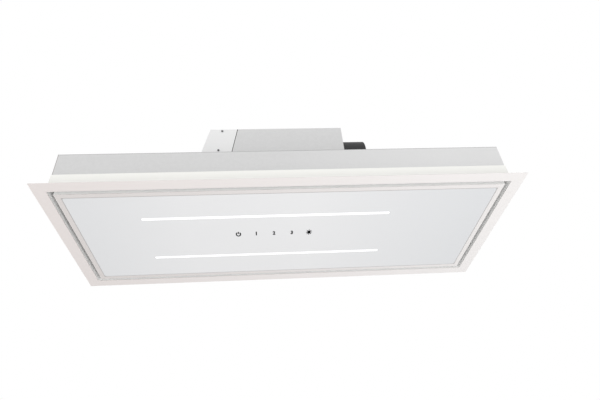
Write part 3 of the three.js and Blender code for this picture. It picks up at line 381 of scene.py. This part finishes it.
DRESS = {
    "flange_frame": flange_paint,
    "casing": casing_zinc,
    "filter_deck": white_paint,
    "panel_frame": panel_paint,
    "glass_panel": glass,
    "panel_tray": casing_zinc,
    "touch_board": board_green,
    "inlet_ring": black_plastic,
    "impeller": grey_plastic,
    "motor_can": dark_zinc,
    "motor_end_bell": aluminium_ends,
    "stator_core": laminations,
    "rotor_core": laminations,
    "motor_shaft": zinc_plate,
    "scroll_housing": grey_plastic,
    "scroll_lid": grey_plastic,
    "blower_box": box_zinc,
    "end_cover": cover_steel,
    "outlet_collar": black_plastic,
    "flap_pin": zinc_plate,
    "power_board": board_green,
    "light_driver": white_plastic,
    "motor_capacitor": aluminium,
    "terminal_block": white_plastic,
    "cable_gland": black_plastic,
}
FAMILIES = (
    ("filter_frame", aluminium),
    ("filter_mesh", mesh_metal),
    ("filter_latch", grey_plastic),
    ("light_diffuser", opal),
    ("light_board", board_green),
    ("light_channel", aluminium),
    ("hinge_bracket", zinc_plate),
    ("hinge_leaf", zinc_plate),
    ("hinge_pin", dark_zinc),
    ("catch_magnet", magnet_plastic),
    ("catch_strike", zinc_plate),
    ("bearing", zinc_plate),
    ("cover_screw", dark_zinc),
    ("outlet_flap", black_plastic),
    ("suspension_bracket", zinc_plate),
)


def look_of(name):
    if name in DRESS:
        return DRESS[name]
    return next(look for start, look in FAMILIES if name.startswith(start))


for node_name, node in NODES.items():
    node.data.materials.clear()
    node.data.materials.append(look_of(node_name).material)

# ---------------------------------------------------------------- rounded edges

EDGE_ANGLE = math.radians(35)
EDGE_SEGMENTS = 2
FLAT_ANGLE = math.radians(0.5)
WELD_REACH = 0.002 * MM


def soften(name, width):
    """Rounds the sharp edges of a node with modifiers, which leave its mesh as it is."""
    node = NODES[name]
    weld = node.modifiers.new("weld", "WELD")
    weld.merge_threshold = WELD_REACH
    flat = node.modifiers.new("flat", "DECIMATE")
    flat.decimate_type = "DISSOLVE"
    flat.angle_limit = FLAT_ANGLE
    edge = node.modifiers.new("edge", "BEVEL")
    edge.limit_method = "ANGLE"
    edge.angle_limit = EDGE_ANGLE
    edge.width = width
    edge.segments = EDGE_SEGMENTS
    edge.harden_normals = True


SOFT_EDGES = {  # mm
    "flange_frame": 0.35,
    "casing": 0.4,
    "panel_frame": 0.4,
    "glass_panel": 0.6,
    "blower_box": 0.4,
    "end_cover": 0.4,
    "outlet_collar": 0.7,
    "cable_gland": 0.5,
    "terminal_block": 0.5,
    "light_driver": 1.0,
}
BRACKET_EDGE = 0.5 * MM
for node_name, radius in SOFT_EDGES.items():
    soften(node_name, radius * MM)
for node_name in NODES:
    if node_name.startswith("suspension_bracket"):
        soften(node_name, BRACKET_EDGE)

# ---------------------------------------------------------------- new pieces


def new_piece(name, mesh, look, body):
    """A visible piece that rides on a body and takes a material slot of the part."""
    piece = bpy.data.objects.new(name, mesh)
    piece.data.materials.append(look.material)
    scene.collection.objects.link(piece)
    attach(piece, body)


def finished(built, name):
    """The mesh of what was built, with its faces turned outwards."""
    bmesh.ops.recalc_face_normals(built, faces=built.faces)
    mesh = bpy.data.meshes.new(name)
    built.to_mesh(mesh)
    built.free()
    return mesh


def ring_faces(built, lower, upper):
    """Faces between two closed rings of corners."""
    for i in range(len(lower)):
        j = (i + 1) % len(lower)
        built.faces.new((lower[i], lower[j], upper[j], upper[i]))


def prism(built, lower, upper):
    """A closed solid between two closed rings of corners."""
    built.faces.new(lower[::-1])
    built.faces.new(upper)
    ring_faces(built, lower, upper)


# ---------------------------------------------------------------- symbols printed on the glass

KEY_ROW = -14.7 * MM
POWER_X = -129.3 * MM
ONE_X = -80.2 * MM
TWO_X = -31.3 * MM
THREE_X = 18.1 * MM
LIGHT_X = 65.7 * MM
SYMBOL_RADIUS = 5.8 * MM
SYMBOL_LINE = 3.2 * MM
SYMBOL_STRETCH = 1.55  # the printed symbols are taller than wide
RING_GAP = math.radians(35)
BAR_START = 0.15 * SYMBOL_RADIUS
BAR_LENGTH = 1.15 * SYMBOL_RADIUS
LIGHT_RADIUS = 7.0 * MM
DISC_MIDDLE = 0.35 * LIGHT_RADIUS  # of the band that fills the disc
DISC_HOLE = 0.01 * MM
DISC_CLOSING = 0.001  # radians left between the band's ends
RAYS = 8
RAY_START = 0.74 * LIGHT_RADIUS
RAY_LENGTH = 0.46 * LIGHT_RADIUS
RAY_WIDTH = 0.66 * SYMBOL_LINE
DIGIT_HEIGHT = 13.2 * MM
DIGIT_STRETCH = 1.7
DIGIT_BOLDER = {"1": 0.95 * MM, "2": 0.75 * MM, "3": 0.75 * MM}
INK_DEPTH = 0.08 * MM
GLASS_FACE = GLASS_LOW.z


def flat_mesh(name, outlines, thickness):
    """A thin solid for each outline, a closed list of corners in x and y."""
    built = bmesh.new()
    for outline in outlines:
        lower = [built.verts.new((x, y, 0)) for x, y in outline]
        upper = [built.verts.new((x, y, thickness)) for x, y in outline]
        prism(built, lower, upper)
    return finished(built, name)


def arc_band(radius, line, start, end, steps=28):
    """The outline of a bent bar along part of a circle."""
    turns = [start + (end - start) * i / steps for i in range(steps + 1)]
    far = radius + line / 2
    near = radius - line / 2
    outer = [(far * math.cos(turn), far * math.sin(turn)) for turn in turns]
    inner = [(near * math.cos(turn), near * math.sin(turn)) for turn in reversed(turns)]
    return outer + inner


def bar(x, y, length, width, angle):
    """The outline of a straight bar that starts at x and y."""
    along = (math.cos(angle), math.sin(angle))
    side = (-along[1] * width / 2, along[0] * width / 2)
    far = (x + along[0] * length, y + along[1] * length)
    return [
        (x - side[0], y - side[1]),
        (far[0] - side[0], far[1] - side[1]),
        (far[0] + side[0], far[1] + side[1]),
        (x + side[0], y + side[1]),
    ]


def power_symbol():
    """A ring that is open at its top, with a bar in the opening."""
    top = math.pi / 2
    ring = arc_band(SYMBOL_RADIUS, SYMBOL_LINE, top + RING_GAP, top + 2 * math.pi - RING_GAP)
    return [ring, bar(0, BAR_START, BAR_LENGTH, SYMBOL_LINE, top)]


def light_symbol():
    """A disc with rays round it."""
    disc = arc_band(DISC_MIDDLE, 2 * DISC_MIDDLE - DISC_HOLE, 0, 2 * math.pi - DISC_CLOSING)
    rays = []
    for i in range(RAYS):
        angle = i * 2 * math.pi / RAYS
        x, y = RAY_START * math.cos(angle), RAY_START * math.sin(angle)
        rays.append(bar(x, y, RAY_LENGTH, RAY_WIDTH, angle))
    return [disc, *rays]


def digit_mesh(character):
    """A digit in Blender's own typeface, made a little bolder."""
    curve = bpy.data.curves.new("digit", "FONT")
    curve.body = character
    curve.align_x = "CENTER"
    curve.align_y = "CENTER"
    curve.size = DIGIT_HEIGHT
    curve.extrude = INK_DEPTH / 2
    curve.offset = DIGIT_BOLDER[character]
    curve.resolution_u = 4
    text = bpy.data.objects.new("digit", curve)
    scene.collection.objects.link(text)
    bpy.context.view_layer.update()
    evaluated = text.evaluated_get(bpy.context.evaluated_depsgraph_get())
    mesh = bpy.data.meshes.new_from_object(evaluated)
    mesh.transform(Matrix.Translation((0, 0, INK_DEPTH / 2)))
    bpy.data.objects.remove(text)
    return mesh


def print_symbol(name, mesh, x, stretch):
    """Turns the symbol to be read from below and prints it on the glass's lower face."""
    face_down = Matrix.Rotation(math.pi, 4, "X") @ Matrix.Scale(stretch, 4, (0, 1, 0))
    mesh.transform(Matrix.Translation((x, KEY_ROW, GLASS_FACE)) @ face_down)
    mesh.materials.clear()
    new_piece(name, mesh, ink, "panel")


print_symbol("symbol_power", flat_mesh("symbol_power", power_symbol(), INK_DEPTH), POWER_X, SYMBOL_STRETCH)
print_symbol("symbol_light", flat_mesh("symbol_light", light_symbol(), INK_DEPTH), LIGHT_X, SYMBOL_STRETCH)
for digit, place in (("1", ONE_X), ("2", TWO_X), ("3", THREE_X)):
    print_symbol("symbol_" + digit, digit_mesh(digit), place, DIGIT_STRETCH)

# ---------------------------------------------------------------- seals, and painted shade in the cover's seam

GLASS_CORNER = 6.0 * MM
GLASS_GAP = 0.28 * MM
GLASS_SEAL = 1.7 * MM
SEAL_PROUD = 0.15 * MM
CORNER_STEPS = 8


def seal_rings(built, level):
    """The bead's inner ring, round at the corners, and its outer ring, square at them."""
    centre_x = GLASS_HALF + GLASS_GAP - GLASS_SEAL - GLASS_CORNER
    centre_y = GLASS_HIGH.y + GLASS_GAP - GLASS_SEAL - GLASS_CORNER
    inner, outer = [], []
    for corner in range(4):
        x = centre_x if corner in (0, 3) else -centre_x
        y = centre_y if corner in (0, 1) else -centre_y
        for i in range(CORNER_STEPS + 1):
            angle = math.pi / 2 * (corner + i / CORNER_STEPS)
            cos, sin = math.cos(angle), math.sin(angle)
            reach = (GLASS_CORNER + GLASS_SEAL) / max(abs(cos), abs(sin))
            inner.append(built.verts.new((x + GLASS_CORNER * cos, y + GLASS_CORNER * sin, level)))
            outer.append(built.verts.new((x + reach * cos, y + reach * sin, level)))
    return inner, outer


def glass_seal():
    """A thin grey bead all round the glass."""
    built = bmesh.new()
    low_inner, low_outer = seal_rings(built, GLASS_FACE - SEAL_PROUD)
    high_inner, high_outer = seal_rings(built, GLASS_FACE + SEAL_PROUD)
    ring_faces(built, low_inner, low_outer)
    ring_faces(built, low_outer, high_outer)
    ring_faces(built, high_outer, high_inner)
    ring_faces(built, high_inner, low_inner)
    new_piece("glass_seal", finished(built, "glass_seal"), seal_grey, "panel")


glass_seal()

SEAM_SHADE_WIDTH = 1.7 * MM  # width
SEAM_SPAN = (-0.2 * SEAM_SHADE_WIDTH, 0.8 * SEAM_SHADE_WIDTH)  # to each side of the cover's edge
SEAM_DEPTH = 1.0 * MM
SEAM_PROUD = 0.08 * MM
SEAM_SUNK = 0.05 * MM  # below the top
LEVEL_TOLERANCE = 0.1 * MM


def seam_shade_strip():
    """A black strip in the leaning seam between the end cover and the box: painted shade of the seam's gap.
    """
    low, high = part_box("end_cover")
    corners = [v.co for v in NODES["end_cover"].data.vertices]
    right_low = max(v.x for v in corners if v.z < low.z + LEVEL_TOLERANCE)
    right_high = max(v.x for v in corners if v.z > high.z - LEVEL_TOLERANCE)
    outline = [
        (right_low, low.y, low.z),
        (right_high, low.y, high.z),
        (right_high, high.y, high.z),
        (right_low, high.y, low.z),
    ]
    built = bmesh.new()
    loops = []
    for shift in SEAM_SPAN:
        for grow in (SEAM_PROUD, -SEAM_DEPTH):
            ring = []
            for x, y, z in outline:
                side = -1 if y == low.y else 1
                sink = min(grow, -SEAM_SUNK) if z == high.z else 0
                ring.append(built.verts.new((x + shift, y + side * grow, z + sink)))
            loops.append(ring)
    outer_a, inner_a, outer_b, inner_b = loops
    for i in range(len(outline) - 1):
        j = i + 1
        for a, b in ((outer_a, outer_b), (outer_b, inner_b), (inner_b, inner_a), (inner_a, outer_a)):
            built.faces.new((a[i], a[j], b[j], b[i]))
    for i in (0, -1):
        built.faces.new((outer_a[i], outer_b[i], inner_b[i], inner_a[i]))
    new_piece("seam_shade_strip", finished(built, "seam_shade_strip"), ink, "hood")


seam_shade_strip()

# ---------------------------------------------------------------- fasteners

SIDES = 12  # points round a head; two to each flat of a hexagon


def round_ring(radius, height):
    return [(radius, height)] * SIDES


def hexagon_ring(across, height):
    """Corners and middles of the flats of a hexagon, in turn."""
    return [(across / 2 / math.cos(math.radians(30 if i % 2 else 0)), height) for i in range(SIDES)]


# Each head is a stack of rings, from its seat up.
HEX_HEAD = [
    round_ring(5.0 * MM, 0.0),
    round_ring(5.2 * MM, 0.4 * MM),
    round_ring(4.7 * MM, 0.9 * MM),
    hexagon_ring(7.0 * MM, 0.9 * MM),
    hexagon_ring(7.0 * MM, 2.9 * MM),
    hexagon_ring(6.2 * MM, 3.4 * MM),
    round_ring(2.4 * MM, 3.4 * MM),
    round_ring(2.0 * MM, 3.1 * MM),
]
RIVET_HEAD = [
    round_ring(3.2 * MM, 0.0),
    round_ring(3.2 * MM, 0.25 * MM),
    round_ring(2.6 * MM, 0.75 * MM),
    round_ring(1.3 * MM, 1.0 * MM),
    round_ring(1.1 * MM, 0.8 * MM),
]


def add_head(built, rings, place, way):
    """One head, standing at place and pointing along way."""
    turn = Vector(way).to_track_quat("Z", "Y").to_matrix()
    loops = []
    for ring in rings:
        loop = []
        for i, (radius, height) in enumerate(ring):
            angle = 2 * math.pi * i / SIDES
            corner = Vector((radius * math.cos(angle), radius * math.sin(angle), height))
            loop.append(built.verts.new(Vector(place) + turn @ corner))
        loops.append(loop)
    for lower, upper in zip(loops, loops[1:]):
        ring_faces(built, lower, upper)
    built.faces.new(loops[-1])
    built.faces.new(loops[0][::-1])


def heads(name, rings, places, way, look, body):
    """A row of equal heads as one piece."""
    built = bmesh.new()
    for place in places:
        add_head(built, rings, place, way)
    new_piece(name, finished(built, name), look, body)


UP, DOWN = (0, 0, 1), (0, 0, -1)
SHEET = 1.2 * MM  # thickness of the sheets that the heads sit on
LEAF_SHEET = 1.5 * MM
EAR_SHEET = 2.0 * MM
BRACKET_SHEET = 2.5 * MM
BOX_FOOT = 14 * MM  # width of the box's foot flange
BOX_SCREW_SHARES = (0.02, 0.34, 0.66, 0.98)  # along each long foot
BOX_END_SCREWS = (-70 * MM, 0, 70 * MM)  # along the foot at the duct's end
BRACKET_SCREW_IN = 20 * MM  # from the bracket's end
BRACKET_SCREWS = (-14 * MM, 14 * MM)
LEAF_RIVETS_X = (-14 * MM, 14 * MM)
LEAF_RIVETS_Y = (12 * MM, 30 * MM)
STRIKE_RIVET_IN = 3.8 * MM
CHANNEL_RIVETS = 5  # along each side
CHANNEL_END = 15 * MM  # from the channel's end to the first rivet
CHANNEL_RIVET_IN = 3.3 * MM
HINGE_RIVET_IN = 6 * MM
MAGNET_RIVET_IN = 4 * MM


def middle(low, high):
    return (low + high) / 2


def inset_pair(low, high, inset):
    """Two places, each inset from one of two ends."""
    return low + inset, high - inset


def box_screws():
    low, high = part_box("blower_box")
    level = low.z + SHEET
    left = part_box("end_cover")[1].x
    row = high.x - BOX_FOOT / 2
    places = []
    for share in BOX_SCREW_SHARES:
        places += [(left + (row - left) * share, y, level) for y in inset_pair(low.y, high.y, BOX_FOOT / 2)]
    places += [(row, middle(low.y, high.y) + y, level) for y in BOX_END_SCREWS]
    heads("box_foot_screws", HEX_HEAD, places, UP, zinc_plate, "hood")


def bracket_screws():
    places = []
    for end in ("left", "right"):
        for side in ("front", "back"):
            low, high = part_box(f"suspension_bracket_{end}_{side}")
            foot = low.x + BRACKET_SCREW_IN if end == "right" else high.x - BRACKET_SCREW_IN
            level = low.z + BRACKET_SHEET
            places += [(foot, middle(low.y, high.y) + y, level) for y in BRACKET_SCREWS]
    heads("bracket_screws", HEX_HEAD, places, UP, zinc_plate, "hood")


def panel_rivets():
    """The rivets of the hinge leaves, catch strikes and light channels, on the tray's upper side."""
    places = []
    for side in ("left", "right"):
        low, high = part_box(f"hinge_leaf_{side}")
        level = low.z + LEAF_SHEET
        for x in LEAF_RIVETS_X:
            places += [(middle(low.x, high.x) + x, low.y + y, level) for y in LEAF_RIVETS_Y]
        low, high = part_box(f"catch_strike_{side}")
        level = low.z + SHEET
        places += [(x, middle(low.y, high.y), level) for x in inset_pair(low.x, high.x, STRIKE_RIVET_IN)]
    for side in ("near", "far"):
        low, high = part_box(f"light_channel_{side}")
        first, last = inset_pair(low.x, high.x, CHANNEL_END)
        for i in range(CHANNEL_RIVETS):
            x = first + (last - first) * i / (CHANNEL_RIVETS - 1)
            places += [(x, y, low.z + SHEET) for y in inset_pair(low.y, high.y, CHANNEL_RIVET_IN)]
    heads("panel_rivets", RIVET_HEAD, places, UP, aluminium_ends, "panel")


def deck_rivets():
    """The rivets of the hinge brackets and catch magnets, seen from below."""
    places = []
    for side in ("left", "right"):
        low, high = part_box(f"hinge_bracket_{side}")
        places.append((middle(low.x, high.x), low.y + HINGE_RIVET_IN, high.z - EAR_SHEET))
        low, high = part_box(f"catch_magnet_{side}")
        level = high.z - EAR_SHEET
        places += [(x, middle(low.y, high.y), level) for x in inset_pair(low.x, high.x, MAGNET_RIVET_IN)]
    heads("deck_rivets", RIVET_HEAD, places, DOWN, aluminium_ends, "hood")


box_screws()
bracket_screws()
panel_rivets()
deck_rivets()

# ---------------------------------------------------------------- nets over the filters

NET_LONG, NET_SHORT = 14 * MM, 7 * MM  # of one diamond
NET_STRAND = 1.1 * MM
NET_THICKNESS = 0.5 * MM
NET_OVERLAP = 0.25 * MM  # how much higher the strands of one direction lie
NET_GRIP = 0.4 * MM  # of each strand's end inside the frame
MESH_TO_LIP = 16.2 * MM  # from the folded mesh's edge to the frame's opening
MESH_TO_FRONT_LIP = 3 * MM
MESH_TO_UNDERSIDE = 1.8 * MM
NET_LEVEL = 0.35 * MM  # above the frame's underside


def cross_rectangle(point, way, low, high):
    """The ends of the part of a line that is inside a rectangle, as distances along it, or None."""
    first, last = -math.inf, math.inf
    for start, step, near, far in zip(point, way, low, high):
        ends = sorted(((near - start) / step, (far - start) / step))
        first, last = max(first, ends[0]), min(last, ends[1])
    return (first, last) if last - first > NET_STRAND else None


def add_strand(built, ends, width, low, high):
    """A straight flat strand between two points, from one level to another."""
    (x0, y0), (x1, y1) = ends
    length = math.hypot(x1 - x0, y1 - y0)
    side = (-(y1 - y0) / length * width / 2, (x1 - x0) / length * width / 2)
    outline = [
        (x0 - side[0], y0 - side[1]),
        (x1 - side[0], y1 - side[1]),
        (x1 + side[0], y1 + side[1]),
        (x0 + side[0], y0 + side[1]),
    ]
    lower = [built.verts.new((x, y, low)) for x, y in outline]
    upper = [built.verts.new((x, y, high)) for x, y in outline]
    prism(built, lower, upper)


def filter_net(number):
    """The expanded sheet that guards the folded mesh, in the frame's opening."""
    mesh_low, mesh_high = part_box(f"filter_mesh_{number}")
    low = (mesh_low.x + MESH_TO_LIP - NET_GRIP, mesh_low.y + MESH_TO_FRONT_LIP - NET_GRIP)
    high = (mesh_high.x - MESH_TO_LIP + NET_GRIP, mesh_high.y - MESH_TO_LIP + NET_GRIP)
    centre = (middle(low[0], high[0]), middle(low[1], high[1]))
    level = mesh_low.z - MESH_TO_UNDERSIDE + NET_LEVEL
    slant = math.hypot(NET_LONG, NET_SHORT)
    built = bmesh.new()
    for lean in (1, -1):
        way = (NET_LONG / slant, lean * NET_SHORT / slant)
        floor = level + (NET_OVERLAP if lean > 0 else 0)
        reach = (high[0] - low[0]) * NET_SHORT / NET_LONG + (high[1] - low[1])
        count = math.ceil(reach / 2 / NET_SHORT)
        for i in range(-count, count + 1):
            point = (centre[0], centre[1] + i * NET_SHORT)
            crossing = cross_rectangle(point, way, low, high)
            if crossing:
                ends = [(point[0] + way[0] * t, point[1] + way[1] * t) for t in crossing]
                add_strand(built, ends, NET_STRAND, floor, floor + NET_THICKNESS)
    name = f"filter_net_{number}"
    new_piece(name, finished(built, name), aluminium_ends, "hood")


for filter_number in (1, 2, 3):
    filter_net(filter_number)

# ---------------------------------------------------------------- folds of the casing, with their painted shade

CORNER_SEAM = 1.8 * MM
TOP_FOLD_SHADE = 1.3 * MM
FOOT_FOLD_SHADE = 0.9 * MM
FOLD_PROUD = 0.06 * MM


def fold_line(built, start, end, out, across, width):
    """A thin strip on a face: from start to end, standing out a little and running across by its width."""
    start, end, out = Vector(start), Vector(end), Vector(out).normalized() * FOLD_PROUD
    side = Vector(across).normalized() * width
    base = [start - out, end - out, end + side - out, start + side - out]
    lower = [built.verts.new(corner) for corner in base]
    upper = [built.verts.new(corner + 2 * out) for corner in base]
    prism(built, lower, upper)


def strips(name, lines, look):
    """Strips on the casing as one piece."""
    built = bmesh.new()
    for line in lines:
        fold_line(built, *line)
    new_piece(name, finished(built, name), look, "hood")


def casing_seams():
    """The open seams at two corners of the casing, and painted shade along the folds at its top and its
    foot.
    """
    low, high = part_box("casing")
    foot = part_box("flange_frame")[1].z
    corners = [
        ((low.x, low.y, foot), (low.x, low.y, high.z), (0, -1, 0), (1, 0, 0), CORNER_SEAM),
        ((high.x, high.y, foot), (high.x, high.y, high.z), (0, 1, 0), (-1, 0, 0), CORNER_SEAM),
    ]
    # painted shade: dark strips along the folds at the casing's top and its foot
    fold_shades = []
    for level, across, width in ((high.z, (0, 0, -1), TOP_FOLD_SHADE), (foot, (0, 0, 1), FOOT_FOLD_SHADE)):
        for y, out in ((low.y, (0, -1, 0)), (high.y, (0, 1, 0))):
            fold_shades.append(((low.x, y, level), (high.x, y, level), out, across, width))
        for x, out in ((low.x, (-1, 0, 0)), (high.x, (1, 0, 0))):
            fold_shades.append(((x, low.y, level), (x, high.y, level), out, across, width))
    strips("casing_seams", corners, seal_grey)
    strips("casing_fold_shade", fold_shades, fold_shade_grey)


casing_seams()

# ---------------------------------------------------------------- floor, world and lamps

FLOOR_LEVEL = -5.0
FLOOR_HALF = 60.0
FLOOR_COLOUR = (0.88, 0.88, 0.88)
FLOOR_PALE = 0.88  # how much of the floor that is seen is plain white
WORLD_LIT = 0.74  # strength of the light on the object
WORLD_SEEN = 1.0  # strength of the background
SEEN_RAYS = ("Is Glossy Ray", "Is Transmission Ray")  # seen in metal and through glass


def make_floor():
    mesh = bpy.data.meshes.new("floor")
    signs = [(-1, -1), (1, -1), (1, 1), (-1, 1)]
    corners = [(x * FLOOR_HALF, y * FLOOR_HALF, FLOOR_LEVEL) for x, y in signs]
    mesh.from_pydata(corners, [], [(0, 1, 2, 3)])
    floor = bpy.data.objects.new("floor", mesh)
    scene.collection.objects.link(floor)
    look = Look("pale_floor", FLOOR_COLOUR, 0.9)
    seen = look.node("ShaderNodeEmission", {"Color": PLAIN_WHITE, "Strength": WORLD_SEEN}).outputs[0]
    rays = look.node("ShaderNodeLightPath").outputs
    shown = rays["Is Camera Ray"]
    for name in SEEN_RAYS:
        shown = look.math("MAXIMUM", shown, rays[name])
    blend = look.node("ShaderNodeMixShader", {0: look.math("MULTIPLY", shown, FLOOR_PALE)})
    look.tree.links.new(look.shader.outputs[0], blend.inputs[1])
    look.tree.links.new(seen, blend.inputs[2])
    look.tree.links.new(blend.outputs[0], look.tree.nodes["Material Output"].inputs["Surface"])
    floor.data.materials.append(look.material)


def make_world():
    world = bpy.data.worlds.new("studio")
    world.use_nodes = True
    scene.world = world
    tree = world.node_tree
    tree.nodes.clear()
    output = tree.nodes.new("ShaderNodeOutputWorld")
    lit = tree.nodes.new("ShaderNodeBackground")
    lit.inputs["Color"].default_value = PLAIN_WHITE
    lit.inputs["Strength"].default_value = WORLD_LIT
    seen = tree.nodes.new("ShaderNodeBackground")
    seen.inputs["Color"].default_value = PLAIN_WHITE
    seen.inputs["Strength"].default_value = WORLD_SEEN
    rays = tree.nodes.new("ShaderNodeLightPath")
    factor = rays.outputs["Is Camera Ray"]
    for name in SEEN_RAYS:
        either = tree.nodes.new("ShaderNodeMath")
        either.operation = "MAXIMUM"
        tree.links.new(factor, either.inputs[0])
        tree.links.new(rays.outputs[name], either.inputs[1])
        factor = either.outputs[0]
    blend = tree.nodes.new("ShaderNodeMixShader")
    tree.links.new(factor, blend.inputs[0])
    tree.links.new(lit.outputs[0], blend.inputs[1])
    tree.links.new(seen.outputs[0], blend.inputs[2])
    tree.links.new(blend.outputs[0], output.inputs[0])


LAMP_TARGET = Vector((0, 0, 0.05))


def softbox(name, place, size, power):
    """A large square lamp, size in metres and power in watts, that isn't seen nor mirrored."""
    lamp = bpy.data.lights.new(name, "AREA")
    lamp.shape = "SQUARE"
    lamp.size = size
    lamp.energy = power
    holder = bpy.data.objects.new(name, lamp)
    holder.location = place
    aim = LAMP_TARGET - Vector(place)
    holder.rotation_euler = aim.to_track_quat("-Z", "Y").to_euler()
    holder.visible_camera = False
    holder.visible_glossy = False
    scene.collection.objects.link(holder)


make_floor()
make_world()
softbox("soft_below_right", (1.3, -1.2, -2.1), 2.0, 30)
softbox("soft_below_left", (-1.2, -1.8, -2.1), 2.0, 16)
softbox("soft_front", (-0.3, -3.0, 0.2), 2.0, 12)
softbox("soft_above_back", (-0.9, 1.9, 2.0), 2.4, 24)
